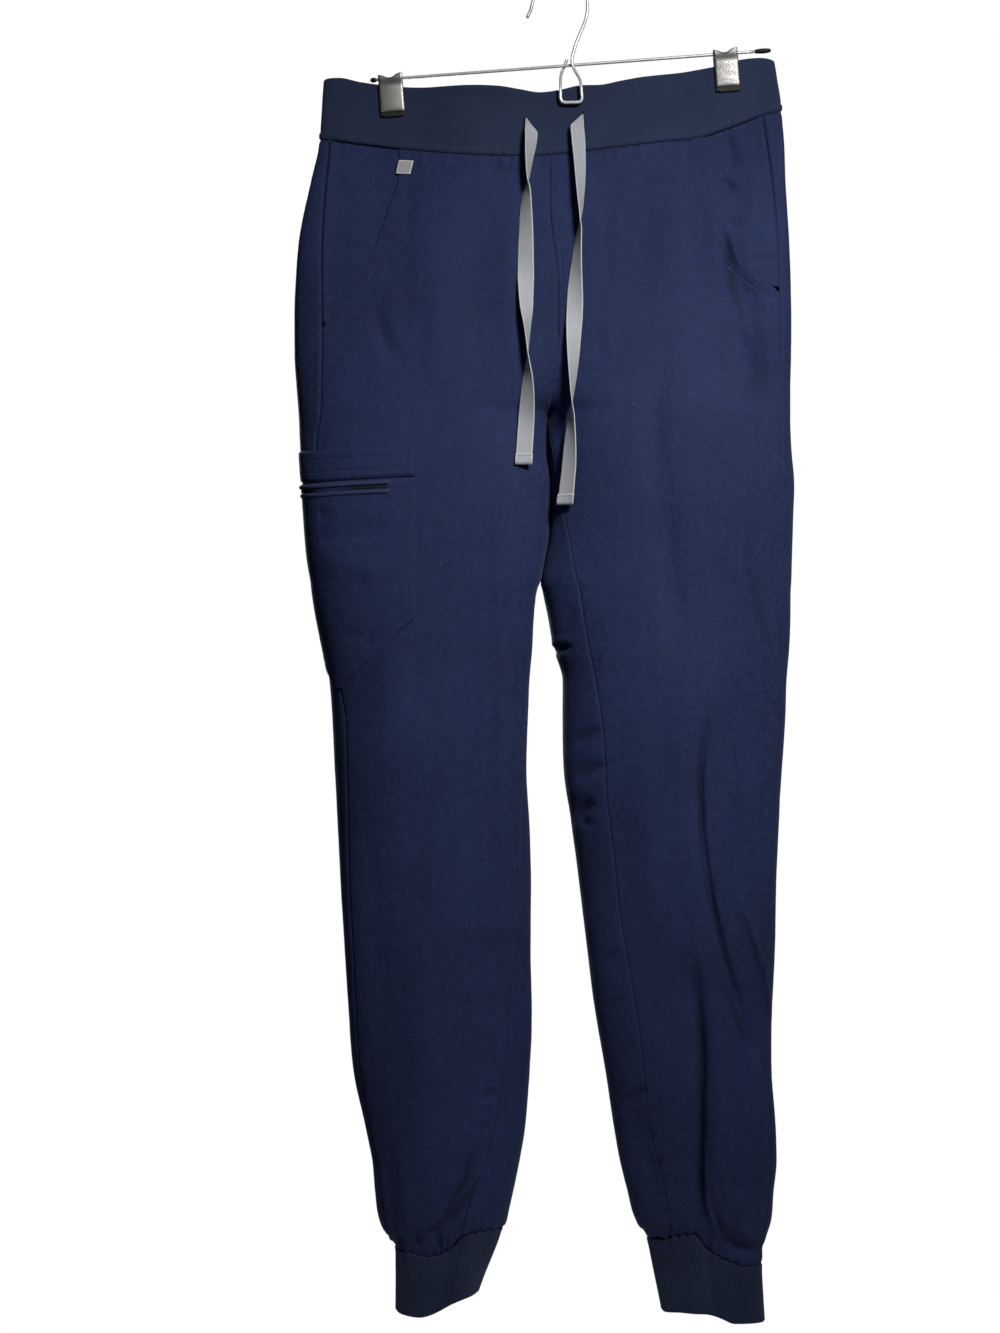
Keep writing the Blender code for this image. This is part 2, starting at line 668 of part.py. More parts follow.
def cuff_gather(half, x, depth, share):
    seam = LEFT_CUFF_SEAM if half == "left" else RIGHT_CUFF_SEAM
    fade = np.clip(np.sin(math.pi * np.clip(share, 0, 1)), 0, 1) ** 0.5
    return CUFF_GATHER_HEIGHT * fade * bell(depth - along(seam, x), CUFF_GATHER_REACH)


def add_panels():
    """Each panel has more columns in its gathered head than below it."""
    for half in ("left", "right"):
        for face, count, crowd in PANEL_COLUMNS:
            head_shares, shares = np.linspace(0, 1, GATHERED_COLUMNS), column_shares(count, crowd)
            head = panel_grid(half, face, np.array(GATHERED_ROWS, float), head_shares)
            body = panel_grid(half, face, row_levels(), shares)
            if (half, face) == ("right", "front"):
                for grid in (head, body):
                    grid[..., 1] -= gape(grid[..., 0], grid[..., 2])
            rise = band_gather(head[..., 0], head[..., 2], head_shares)
            rise *= np.arange(len(head_shares)) % 2
            head[..., 1] += OUT[face] * rise
            rise = cuff_gather(half, body[..., 0], body[..., 2], shares) * (np.arange(count) % 2)
            body[..., 1] += OUT[face] * rise
            start = head.shape[0] * head.shape[1]
            faces = grid_faces(*head.shape[:2])
            faces += bridge(head_shares, start - len(head_shares), shares, start)
            faces += [tuple(n + start for n in face) for face in grid_faces(*body.shape[:2])]
            if faces_inwards(body, leg_middle(half, body[..., 2])):
                faces = [f[::-1] for f in faces]
            places = np.concatenate([head.reshape(-1, 3), body.reshape(-1, 3)])
            add_mesh(f"{face}_{half}", places, faces, WOVEN, WOVEN_WALL)


def add_facings():
    """The pocket's facing laps under the front's cut edge and runs to the side seam."""
    for half, opening in (("left", LEFT_OPENING), ("right", RIGHT_OPENING)):
        surface = SURFACES[half, "front"]
        foot = opening[-1][0] - 6
        head = along(BAND_SEAM, opening[1][1]) + 0.5
        rows, columns = 9, 7
        grid = np.zeros((rows, columns, 3))
        for i in range(rows):
            for j in range(columns):
                x, depth = opening[1][1], head
                for _ in range(3):
                    top = along(BAND_SEAM, x) + GAP / 2
                    depth = top + (foot - top) * i / (rows - 1)
                    edge = surface.share_of(along(opening, depth), depth)
                    start = edge - FACING_LAP / surface.width(depth)
                    end = 1 - GAP / 2 / surface.width(depth)
                    share = start + (end - start) * j / (columns - 1)
                    x = surface.at(share, depth)[0]
                grid[i, j] = surface.at(share, depth)
        normal = outward(grid, leg_middle(half, grid[..., 2]))
        grid = grid - normal * (WOVEN_WALL + GAP + FACING_DROP)
        add_sheet(f"pocket_facing_{half}", grid, WOVEN, WOVEN_WALL, leg_middle(half, grid[..., 2]))


def half_columns(half, gathered):
    """Columns round one half, from its inner front edge to its inner back edge.

    Each is (face, share, 1 on a gather and 0 between two). They are the panels' own, so that
    what is sewn to the panels meets them. Where a pocket's opening cuts the front short, a few
    more carry on to the side seam.
    """
    columns = []
    for face, count, crowd in PANEL_COLUMNS:
        surface = SURFACES[half, face]
        own = np.linspace(0, 1, GATHERED_COLUMNS) if gathered else column_shares(count, crowd)
        depth = BAND_FOOT[half] if gathered else CUFF_HEAD
        shares = seam_trim(surface, own, depth)
        proud = np.arange(len(own)) % 2
        if face == "front" and gathered:
            opening = LEFT_OPENING if half == "left" else RIGHT_OPENING
            edge = surface.share_of(along(opening, depth), depth)
            more = edge + (1 - edge) * np.array(FACING_COLUMNS)
            shares = np.concatenate([shares * edge, more])
            own = np.concatenate([own, np.ones(len(more))])
            proud = np.concatenate([proud, np.zeros(len(more), int)])
        rows = list(zip(shares, own, proud))
        if face == "back":
            rows = rows[:-1][::-1]
        columns += [(half, face, float(a), float(b), int(c)) for a, b, c in rows]
    return columns


def add_waistband():
    """One ring: along the front from left to right, then along the back from right to left."""
    left, right = half_columns("left", True), half_columns("right", True)
    # The inner edges of both halves are the same two lines, so the right half's are left out.
    ordered = left[::-1] + right[1:-1]
    grid = np.zeros((BAND_ROWS, len(ordered), 3))
    for j, (half, face, share, own, proud) in enumerate(ordered):
        surface = SURFACES[half, face]
        x = surface.at(share, BAND_MIDDLE)[0]
        for i in range(BAND_ROWS):
            for _ in range(4):
                top = along(BAND_TOP, x)
                foot = along(BAND_SEAM, x) - GAP / 2
                depth = top + (foot - top) * i / (BAND_ROWS - 1)
                x = surface.at(share, depth)[0]
            grid[i, j] = surface.at(share, depth)
            grid[i, j, 1] += OUT[face] * proud * band_gather(x, depth, own)
    middle = np.array([-8.0, 0, BAND_MIDDLE])
    add_sheet("waistband", grid, KNIT, KNIT_WALL, middle, closed=True)


def add_cuffs():
    for half, seam, hem in (
        ("left", LEFT_CUFF_SEAM, LEFT_CUFF_HEM), ("right", RIGHT_CUFF_SEAM, RIGHT_CUFF_HEM),
    ):
        columns = half_columns(half, False)
        grid = np.zeros((CUFF_ROWS, len(columns), 3))
        rise = np.zeros(len(columns))
        for j, (_, face, share, own, proud) in enumerate(columns):
            surface = SURFACES[half, face]
            depth = CUFF_HEAD
            for _ in range(4):
                x = surface.at(share, depth)[0]
                depth = along(seam, x) + GAP / 2
            grid[0, j] = surface.at(share, depth)
            rise[j] = OUT[face] * proud * cuff_gather(half, x, depth, own)
        low, high = grid[0, :, 0].min(), grid[0, :, 0].max()
        for j in range(len(columns)):
            x, y, top = grid[0, j]
            hem_x = hem[0][0] + (hem[-1][0] - hem[0][0]) * (x - low) / (high - low)
            for i in range(1, CUFF_ROWS):
                v = i / (CUFF_ROWS - 1)
                grid[i, j] = (x + (hem_x - x) * v, y, top + (along(hem, hem_x) - top) * v)
        grid[0, :, 1] += rise
        add_sheet(f"cuff_{half}", grid, KNIT, CUFF_WALL, leg_middle(half, grid[..., 2]), True)


def cargo_width(depth):
    """How far the pocket reaches from the side seam, the same towards the front and the back."""
    front = SURFACES["left", "front"]
    depth = min(depth, CARGO_CORNER)
    return (1 - front.share_of(CARGO_EDGE_X, depth)) * front.width(depth)


def cargo_columns(reach):
    """Columns of a patch from its back edge to its front edge: the panels' own, and its two edges.

    Each is (face, share of the panel or None at an edge, share across the pocket from -1 to 1).
    """
    found = {}
    for face, count, crowd in PANEL_COLUMNS:
        surface = SURFACES["left", face]
        edges = [1 - reach * cargo_width(d) / surface.width(d) for d in (CARGO_TOP, 440, CARGO_CORNER)]
        inside = [s for s in column_shares(count, crowd) if s > max(edges) + 0.025]
        side = 1 if face == "front" else -1
        found[face] = [(face, None, side * reach)]
        for share in inside:
            across = (1 - share) * surface.width(440) / cargo_width(440)
            found[face].append((face, share, side * min(across, reach)))
    return found["back"][:-1] + found["front"][::-1]


def cargo_foot(across):
    """The pocket's lower edge: a point on the side seam."""
    return CARGO_CORNER + (CARGO_FOOT - CARGO_CORNER) * (1 - abs(across))


def cargo_patch(tops, bottoms, rows, wall, lift=0.0, reach=1.0):
    """A patch of the cargo pocket, between two lines given as functions of the share across it."""
    columns = cargo_columns(reach)
    grid = np.zeros((rows, len(columns), 3))
    for j, (face, share, across) in enumerate(columns):
        surface = SURFACES["left", face]
        for i in range(rows):
            depth = tops(across) + (bottoms(across) - tops(across)) * i / (rows - 1)
            place = share
            if share is None:
                place = 1 - abs(across) * cargo_width(depth) / surface.width(depth)
            grid[i, j] = surface.at(seam_trim(surface, place, depth), depth)
    normal = outward(grid, leg_middle("left", grid[..., 2]))
    across = np.array([c[2] for c in columns])[None, :]
    down = np.clip((grid[..., 2] - CARGO_BAND_SEAM) / (cargo_foot(across) - CARGO_BAND_SEAM), 0, 1)
    swell = CARGO_PUFF * np.clip(1 - across**2, 0, 1) ** 0.5 * np.sin(math.pi * down)
    return grid + normal * (GAP + wall + lift + swell)[..., None]


def add_cargo_pocket():
    front = SURFACES["left", "front"]
    zip_away = (1 - front.share_of(ZIP_END_X, ZIP_TOP)) * front.width(ZIP_TOP)
    zip_reach = zip_away / cargo_width(ZIP_TOP)
    middle = leg_middle("left", np.array(450.0))
    body = cargo_patch(lambda u: CARGO_BAND_SEAM + GAP / 2, cargo_foot, 11, WOVEN_WALL)
    band = cargo_patch(lambda u: CARGO_TOP, lambda u: CARGO_BAND_SEAM - GAP / 2, 4, WOVEN_WALL)
    add_sheet("cargo_body", body, WOVEN, WOVEN_WALL, middle)
    add_sheet("cargo_band", band, WOVEN, WOVEN_WALL, middle)
    over = WOVEN_WALL + GAP + ZIP_LIFT
    for name, top, bottom, material in (
        ("cargo_lip_top", LIP_TOP, ZIP_TOP - GAP, WOVEN),
        ("cargo_zip", ZIP_TOP, ZIP_BOTTOM, TAPE_DARK),
        ("cargo_lip_bottom", ZIP_BOTTOM + GAP, LIP_BOTTOM, WOVEN),
    ):
        strip = cargo_patch(lambda u: top, lambda u: bottom, 2, LIP_WALL, over, zip_reach)
        add_sheet(name, strip, material, LIP_WALL, middle)


def add_label():
    surface = SURFACES["left", "front"]
    rows, columns = 3, 3
    grid = np.zeros((rows, columns, 3))
    for i in range(rows):
        for j in range(columns):
            depth = LABEL_TOP + (LABEL_BOTTOM - LABEL_TOP) * i / (rows - 1)
            x = LABEL_LEFT + (LABEL_RIGHT - LABEL_LEFT) * j / (columns - 1)
            grid[i, j] = surface.at(surface.share_of(x, depth), depth)
    middle = leg_middle("left", grid[..., 2])
    grid = grid + outward(grid, middle) * (GAP + LABEL_WALL + LABEL_LIFT)
    add_sheet("label", grid, LABEL, LABEL_WALL, middle)


def front_y(x, depth):
    """The front face's y at a place near the middle."""
    best = 1e9
    for half in ("left", "right"):
        surface = SURFACES[half, "front"]
        row = surface.at(surface.share, np.full(SURFACE_COLUMNS, depth))
        if row[:, 0].min() - 1 <= x <= row[:, 0].max() + 1:
            order = np.argsort(row[:, 0])
            best = min(best, float(np.interp(x, row[order, 0], row[order, 1])))
    return best


def string_rows(table):
    """Even rows down a drawstring, as (x, y, depth, turn)."""
    places = column(table, STRING_COLUMNS, "depth")
    count = int((places[-1] - places[0]) / STRING_STEP) + 1
    depths = np.linspace(places[0], places[-1], count)
    rows = []
    for depth in depths:
        x, turn, lift = (
            smooth(places, column(table, STRING_COLUMNS, name), depth)
            for name in ("x", "turn", "lift")
        )
        reach = TAPE_WIDTH / 2 * abs(math.sin(math.radians(turn)))
        nearest = min(front_y(x + side * TAPE_WIDTH / 2, depth) for side in (-1, -0.5, 0, 0.5, 1))
        rows.append((x, nearest - reach - lift, depth, turn))
    rows = np.array(rows)
    kernel = np.array([0.25, 0.5, 0.25])
    for _ in range(4):
        rows[1:-1, 1] = np.convolve(rows[:, 1], kernel, mode="valid")
    return rows


def add_drawstrings():
    for name, table in (("left", LEFT_STRING), ("right", RIGHT_STRING)):
        rows = string_rows(table)
        grid = np.zeros((len(rows), 2, 3))
        for i, (x, y, depth, turn) in enumerate(rows):
            c, s = math.cos(math.radians(turn)), math.sin(math.radians(turn))
            for j, side in enumerate((-1, 1)):
                half = side * TAPE_WIDTH / 2
                grid[i, j] = (x + half * c, y + half * s, depth)
        faces = grid_faces(len(rows), 2)
        item = add_mesh(f"drawstring_{name}", grid, faces, TAPE, TAPE_WALL)
        item.modifiers["Wall"].offset = 0


def wire(name, places, width, material, sides=2):
    """A round wire along the given places, with closed ends."""
    curve = bpy.data.curves.new(name, "CURVE")
    curve.dimensions = "3D"
    curve.bevel_depth = width / 2 * MM
    curve.bevel_resolution = sides
    curve.use_fill_caps = True
    spline = curve.splines.new("POLY")
    spline.points.add(len(places) - 1)
    for point, (x, y, depth) in zip(spline.points, places):
        point.co = (x * MM, y * MM, -depth * MM, 1)
    curve.materials.append(material)
    item = bpy.data.objects.new(name, curve)
    garment.objects.link(item)
    return item


def smooth_path(places, step):
    """Even places along a smooth curve through the given ones."""
    places = np.array(places, float)
    run = np.concatenate([[0], np.cumsum(np.linalg.norm(np.diff(places, axis=0), axis=1))])
    at = np.linspace(0, run[-1], int(run[-1] / step) + 1)
    slope = np.gradient(places, run, axis=0)
    i = np.clip(np.searchsorted(run, at, side="right") - 1, 0, len(run) - 2)
    h = (run[i + 1] - run[i])[:, None]
    u = ((at - run[i])[:, None]) / h
    return (
        places[i] * (1 + 2 * u) * (1 - u) ** 2
        + slope[i] * h * u * (1 - u) ** 2
        + places[i + 1] * u**2 * (3 - 2 * u)
        - slope[i + 1] * h * u**2 * (1 - u)
    )


def add_hanger():
    bend = []
    centre = HOOK_RADIUS - HOOK_WIRE / 2
    for n in range(9):
        angle = math.radians(180 - 180 * n / 8)
        bend.append((HOOK_RADIUS * math.cos(angle), 0, centre - HOOK_RADIUS * math.sin(angle)))
    route = list(HOOK_FREE_END) + bend + list(HOOK_SHANK) + list(LOOP_FLOOR)
    wire("hanger_hook", smooth_path(route, 3.4), HOOK_WIRE, WIRE, 2)
    ends = [(x, 0, bar_depth(x)) for x in (BAR_LEFT, BAR_RIGHT)]
    wire("hanger_bar", ends, BAR_WIRE, WIRE, 3)
    left = [(x, 0, bar_depth(x)) for x in (BAR_LEFT - GAP - TIP_LEFT_LENGTH, BAR_LEFT - GAP)]
    right = [(x, 0, bar_depth(x)) for x in (BAR_RIGHT + GAP, BAR_RIGHT + GAP + TIP_RIGHT_LENGTH)]
    wire("hanger_tip_left", left, TIP_WIDTH, VINYL, 3)
    wire("hanger_tip_right", right, TIP_WIDTH, VINYL, 3)


def clip_profile(side):
    """A plate's run from its foot up to the bar and over it, as (y, depth below the bar)."""
    face = PINCHED_HALF + GAP + PAD_THICKNESS + GAP + CLIP_SHEET / 2
    roll = BAR_WIRE / 2 + GAP + CLIP_SHEET / 2
    places = [(face, CLIP_LENGTH), (face, CLIP_LENGTH * 0.6), (face, CLIP_SHOULDER)]
    for n in range(9):
        angle = math.radians(-12 + 24 * n)
        places.append((roll * math.cos(angle), -roll * math.sin(angle)))
    return [(side * y, depth) for y, depth in places]


def add_clip(name, clip_x):
    across = (-CLIP_WIDTH / 2, -CLIP_KNUCKLE / 2 - GAP, -CLIP_KNUCKLE / 2, CLIP_KNUCKLE / 2,
              CLIP_KNUCKLE / 2 + GAP, CLIP_WIDTH / 2)
    tilt = math.atan(BAR_FALL)
    for face, side in (("front", -1), ("back", 1)):
        profile = clip_profile(side)
        grid = np.zeros((len(profile), len(across), 3))
        for i, (y, below) in enumerate(profile):
            for j, x in enumerate(across):
                grid[i, j] = (
                    clip_x + x * math.cos(tilt) - below * math.sin(tilt),
                    y,
                    bar_depth(clip_x) + x * math.sin(tilt) + below * math.cos(tilt),
                )
        if face == "front":
            keep = lambda i, j: i < 2 or j == 2
        else:
            keep = lambda i, j: i < 2 or j in (0, 4)
        faces = grid_faces(len(profile), len(across), keep=keep)
        if face == "back":
            faces = [f[::-1] for f in faces]
        used = sorted({n for f in faces for n in f})
        new = {old: n for n, old in enumerate(used)}
        faces = [tuple(new[n] for n in f) for f in faces]
        item = add_mesh(f"clip_{name}_{face}", grid.reshape(-1, 3)[used], faces, CLIP_STEEL, CLIP_SHEET)
        item.modifiers["Wall"].offset = 0
        add_pad(f"pad_{name}_{face}", clip_x, side, tilt)


def add_pad(name, clip_x, side, tilt):
    height = CLIP_LENGTH + PAD_DROP - PAD_TOP
    below = PAD_TOP + height / 2
    mesh = bpy.data.meshes.new(name)
    corners = [
        (x * PAD_WIDTH / 2 * MM, y * PAD_THICKNESS / 2 * MM, z * height / 2 * MM)
        for x in (-1, 1) for y in (-1, 1) for z in (-1, 1)
    ]
    faces = [(0, 1, 3, 2), (4, 6, 7, 5), (0, 4, 5, 1), (2, 3, 7, 6), (0, 2, 6, 4), (1, 5, 7, 3)]
    mesh.from_pydata(corners, [], faces)
    mesh.materials.append(VINYL)
    item = bpy.data.objects.new(name, mesh)
    garment.objects.link(item)
    item.location = (
        (clip_x - below * math.sin(tilt)) * MM,
        side * (PINCHED_HALF + GAP + PAD_THICKNESS / 2) * MM,
        -(bar_depth(clip_x) + below * math.cos(tilt)) * MM,
    )
    item.rotation_euler = (0, tilt, 0)
    soften = item.modifiers.new("Soft edges", "BEVEL")
    soften.width = 0.3 * MM
    soften.segments = 1


for old in list(bpy.data.objects):
    bpy.data.objects.remove(old, do_unlink=True)

garment = bpy.data.collections.new("scrub_joggers_on_hanger")
bpy.context.scene.collection.children.link(garment)

WOVEN = new_material("woven_navy", NAVY, 0.85)
KNIT = new_material("knit_navy", KNIT_NAVY, 0.9)
TAPE_DARK = new_material("zip_tape", SEAM_NAVY, 0.7)
TAPE = new_material("drawstring_grey", TAPE_GREY, 0.8)
LABEL = new_material("label_grey", LABEL_GREY, 0.7)
WIRE = new_material("wire_steel", WIRE_STEEL, 0.3, 1.0)
CLIP_STEEL = new_material("clip_steel", STEEL, 0.45, 1.0)
VINYL = new_material("black_vinyl", VINYL_BLACK, 0.5)

SURFACES = {
    (half, face): Surface(half, face) for half in ("left", "right") for face in ("front", "back")
}
add_panels()
add_facings()
add_waistband()
add_cuffs()
add_cargo_pocket()
add_label()
add_drawstrings()
add_hanger()
for clip_name, clip_place in CLIPS:
    add_clip(clip_name, clip_place)
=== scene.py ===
"""Looks of the scrub joggers that hang by their waistband from a wire hanger with two clips.

Lengths are in millimetres until a mesh is made. A place on the cloth is (x, y, depth): x to the
viewer's right, y away from the viewer, depth down from the inside top of the hanger's hook.
"Left" and "right" are the viewer's. Each cloth piece is a thin shell on the form of its solid,
with its creases, seams and gathers placed one by one.
"""

import math

import bpy
import numpy as np
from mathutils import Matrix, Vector
from mathutils.bvhtree import BVHTree


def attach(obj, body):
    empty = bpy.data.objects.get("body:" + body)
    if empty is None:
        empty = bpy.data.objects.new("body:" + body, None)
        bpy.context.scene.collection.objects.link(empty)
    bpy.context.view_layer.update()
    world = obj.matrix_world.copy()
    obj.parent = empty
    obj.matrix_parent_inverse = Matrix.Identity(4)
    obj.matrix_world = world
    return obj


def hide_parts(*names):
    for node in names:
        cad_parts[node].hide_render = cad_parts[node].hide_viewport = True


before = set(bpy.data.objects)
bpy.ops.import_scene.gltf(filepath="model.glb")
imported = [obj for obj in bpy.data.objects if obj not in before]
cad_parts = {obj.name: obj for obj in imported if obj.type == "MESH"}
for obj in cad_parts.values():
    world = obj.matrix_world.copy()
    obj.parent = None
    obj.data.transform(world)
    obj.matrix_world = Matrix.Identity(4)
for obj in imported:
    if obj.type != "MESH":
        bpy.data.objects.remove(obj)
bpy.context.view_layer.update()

MM = 0.001
HALVES = ("left", "right")
SIGNS = {"left": -1, "right": 1}
GAP = 0.3
WOVEN_WALL = 1.2
LIP_WALL = 1.1
TAPE_WIDTH = 12.7

CROTCH_DEPTH = 351.0
LEGS_PART_DEPTH = 480.0
LEGS_MEET_DEPTH = 286.0
LEGS_PRESS = 1.0
SECTION_TOP, SECTION_BOTTOM = 56.0, 1024.0
SECTION_STEP = 2.0
SECTION_POINTS = 420
SURFACE_COLUMNS = 240
ROUNDING = 1.25
EDGE_SHARE = 0.35
SIDE_ON = 0.05
LEG_TRIM = 0.27

# Shells are a little thinner than the solids they stand for.
CLOTH = 0.9
BAND_CLOTH = 1.5
CUFF_CLOTH = 1.4
PATCH_CLOTH = 0.8

PANEL_HEAD, HEAD_BEND = 137.0, 200.0
PANEL_FOOT, FOOT_BEND = 1000.0, 900.0
PANEL_SIZES = {"front": (352, 108), "back": (292, 76)}
PANEL_CROWD = 0.42

# Seams: how deep the cloth dips into them, and how far from them the dip starts.
SEAM_DIP = 0.8
SEAM_RUN = 1.5
INSEAM_DIP = 0.3
PUCKER_PITCH = 8.5
PUCKER_HEIGHT = 0.20
PUCKER_RUN = 9.0
EDGE_CALM = 7.0
SEAM_REACH = 20
STITCH_REACH = 6.0
OPENING_STITCH_ROWS = (1.8, 8.6)
CARGO_STITCH_ROWS = (1.6, 7.6)
SEEDS = {"left": 100, "right": 200}
FACING_ROWS, FACING_COLUMNS = 64, 36

# Gathers at the waistband's seam, as (x, strength) along the front.
GATHER_PITCH = 9.6
GATHER_HEIGHT = 0.62
GATHER_RUN = 9.5
GATHER_ZONES = (
    (-200, 0.8), (-168, 1.0), (-135, 0.9), (-122, 0.9), (-100, 0.6), (-60, 1.0), (-20, 1.1),
    (-6, 0.3), (18, 0.3), (34, 1.0), (100, 1.0), (112, 0.8), (124, 1.4), (140, 1.0), (158, 0.5),
    (177, 0.3),
)
CUFF_GATHER_PITCH = 8.4
CUFF_GATHER_HEIGHT = 1.0
CUFF_GATHER_RUN = 11.0

# The waistband's lower edge is a raised strip where the seam's layers lie.
STRIP_HEIGHT = 6.0
STRIP_RISE = 0.45
TICK_PITCH = 4.7
TICK_DEPTH = 0.75
TICK_ZONES = (
    (-200, 0.25), (-128, 0.3), (-122, 0.9), (-100, 0.6), (-70, 0.6), (-60, 1.0), (-30, 1.1),
    (-18, 0.9),
    (-8, 0.9), (-4, 0.1), (26, 0.1), (32, 0.6), (60, 0.7), (100, 0.5), (110, 1.2), (136, 1.2),
    (142, 0.7),
    (165, 0.4), (178, 0.1),
)
BAND_ROWS = 52
BAND_COLUMNS = (150, 84)
BAND_MIDDLE = 110.0
BACK_BAND_RISE = 2.2
CUFF_HEAD = 1000.0
CUFF_ROWS = 30
CUFF_COLUMNS = (60, 56)

# The outline of each half, seen from the front.
OUTLINE_COLUMNS = ("depth", "left_out", "left_in", "right_in", "right_out")

OUTLINE = (
    (56, -184, -8, -8, 167),
    (90, -187, -8, -8, 173),
    (115, -188.5, -8, -8, 175.5),
    (137, -190.5, -8, -8, 177),
    (160, -196, -8, -8, 178),
    (185, -201.5, -8, -8, 179.5),
    (212, -206, -5.5, -5.5, 181),
    (240, -208.5, -2, -2, 182),
    (272, -209.5, -1.5, -1.5, 182.5),
    (300, -209.5, -2.5, -2.5, 182.5),
    (325, -208, -7, -7, 182),
    (351, -206, -10, -10, 182),
    (374, -205, -11, -11, 183),
    (400, -203, -8, -8, 185),
    (440, -199, -9, -9, 184),
    (461, -196.5, -12.5, -12.5, 183.5),
    (479, -193.5, -16, -15.6, 183),
    (485, -193, -18, -14, 182.5),
    (509, -190, -21, -9, 182),
    (532, -186, -22, -5, 181),
    (556, -182, -24, 2, 179),
    (580, -180, -25, 2, 178.5),
    (627, -178, -26.5, 3, 175.5),
    (675, -175.5, -24, 10, 173),
    (722, -173, -23, 16, 171),
    (769, -170, -23, 22, 170),
    (817, -167, -22, 28, 167.5),
    (864, -163, -24, 36, 167),
    (912, -152.5, -28, 43, 170.5),
    (935, -148, -32, 47, 171),
    (959, -146, -37, 53, 168.5),
    (983, -142, -43, 60, 166.5),
    (994, -136, -48, 68, 163),
    (1004, -130, -53, 71, 159.5),
    (1022, -130, -56, 74, 159.5),
)

# How far the cloth stands before and behind the hanger's plane, and how blunt its side is.
# "centre" is the share of that depth left at the inner edge: 0 where the leg closes round.
DEPTH_COLUMNS = (
    "depth", "left_front", "left_back", "right_front", "right_back",
    "left_mid", "right_mid", "blunt", "centre_front", "centre_back",
)

DEPTHS = (
    (56, 5.5, 5.5, 5.5, 5.5, 0, 0, 6.0, 1, 1),
    (90, 6.5, 6.5, 6.5, 6.5, 0, 0, 6.0, 1, 1),
    (115, 7.5, 8, 7.5, 8, 0, 0, 5.6, 1, 1),
    (140, 9.5, 11, 9.5, 11, 0, 0, 5.0, 1, 1),
    (180, 16, 19, 16, 19, 0, 0, 4.0, 1, 1),
    (230, 25, 30, 25, 30, 0, 0, 3.4, 1, 1),
    (255, 29, 35, 29, 35, 0, 0, 3.1, 0.997, 0.998),
    (276, 32, 38, 32, 38, 0, 0, 3.0, 0.988, 0.992),
    (300, 35, 42, 35, 42, 0, 1, 2.9, 0.96, 0.97),
    (325, 38, 45, 38, 45, 0, 2, 2.7, 0.80, 0.84),
    (340, 40, 46, 40, 46, 0, 2, 2.6, 0.52, 0.56),
    (351, 41, 47, 41, 47, 0, 2, 2.6, 0, 0),
    (400, 44, 48, 43, 49, -1, 3, 2.6, 0, 0),
    (485, 46, 48, 45, 49, -2, 4, 2.5, 0, 0),
    (580, 47, 47, 45, 49, -2, 5, 2.3, 0, 0),
    (675, 44, 43, 43, 46, -1, 6, 2.2, 0, 0),
    (722, 43, 42, 42, 44, 0, 6, 2.2, 0, 0),
    (817, 39, 41, 39, 43, 0, 5, 2.2, 0, 0),
    (900, 36, 40, 37, 41, 0, 3, 2.2, 0, 0),
    (959, 36, 38, 34, 36, 0, 1, 2.3, 0, 0),
    (983, 33, 34, 27, 28, 0, 0, 2.5, 0, 0),
    (1004, 26, 26, 16, 16, 0, 0, 2.6, 0, 0),
    (1022, 25, 25, 15, 15, 0, 0, 2.6, 0, 0),
)

# Where the seams run over the front face, as (depth, x). Above its first row an inseam lies
# at the leg's inner edge.
SIDE_SEAMS = {
    "left": (
        (56, -180), (134, -182), (184, -186), (226, -187.5), (289, -186.5), (347, -187.5),
        (371, -191),
        (414, -188), (493, -180), (561, -172), (592, -167.5), (655, -166.5), (720, -165),
        (760, -163),
        (812, -160.5), (866, -156.5), (900, -150.5), (935, -143.5), (983, -137), (1022, -127),
    ),
    "right": (
        (56, 155), (111, 160), (164, 167), (216, 171), (294, 172), (373, 172), (451, 171),
        (524, 167),
        (629, 164), (734, 160), (786, 160), (850, 161), (935, 164), (983, 160), (1022, 153),
    ),
}

INSEAMS = {
    "left": (
        (560, -24), (603, -27), (655, -30), (708, -32), (760, -36), (812, -40), (861, -44),
        (905, -52),
        (933, -59), (955, -69), (987, -77), (1022, -80),
    ),
    "right": (
        (351, -10), (372, -5), (426, 4), (469, 12), (513, 19), (588, 32), (651, 36), (690, 41),
        (746, 47), (785, 54), (837, 62), (912, 70), (939, 77), (987, 86), (1022, 88),
    ),
}

# Lines across the cloth, as (x, depth).
BAND_TOP = (
    (-190, 84), (-186, 82), (-174, 81), (-158, 84), (-134, 87), (-111, 88.5), (-71, 87), (-47, 88),
    (-32, 90.5), (-16, 93), (0, 91), (16, 87.5), (32, 87), (47, 84), (63, 81), (95, 77),
    (111, 74), (130, 70), (142, 66.5), (158, 65), (169, 67), (176, 70),
)

BAND_SEAM = (
    (-200, 129), (-174, 131.5), (-126, 137), (-80, 142), (-30, 144), (-8, 143), (36, 138),
    (75, 133), (111, 128), (135, 120), (159, 111), (177, 107),
)
CUFF_SEAMS = {
    "left": (
        (-140, 1000), (-130, 1002), (-105, 1006), (-88, 1001), (-78, 991), (-58, 986), (-45, 987),
    ),
    "right": (
        (62, 996), (81, 993), (104, 989), (116, 1003), (132, 1012), (149, 1017), (170, 1014),
    ),
}
CUFF_HEMS = {
    "left": (
        (-130, 1053), (-112, 1054), (-100, 1051), (-90, 1045), (-80, 1041), (-64, 1038),
    ),
    "right": (
        (80, 1054), (95, 1052), (112, 1052), (126, 1057), (137, 1061.5), (162, 1062),
    ),
}

# Hip pocket openings, as (depth, x), from the waistband seam to the side seam.
OPENINGS = {
    "left": (
        (120, -126.5), (141, -127), (164, -128), (184, -135), (208, -142), (231, -152), (244, -161),
        (260, -171), (281, -186.5),
    ),
    "right": (
        (100, 110), (126, 114), (148, 118), (171, 123), (198, 130), (218, 137), (231, 143),
        (239, 153),
        (252, 171.4),
    ),
}
FACING_LAP = 16.0

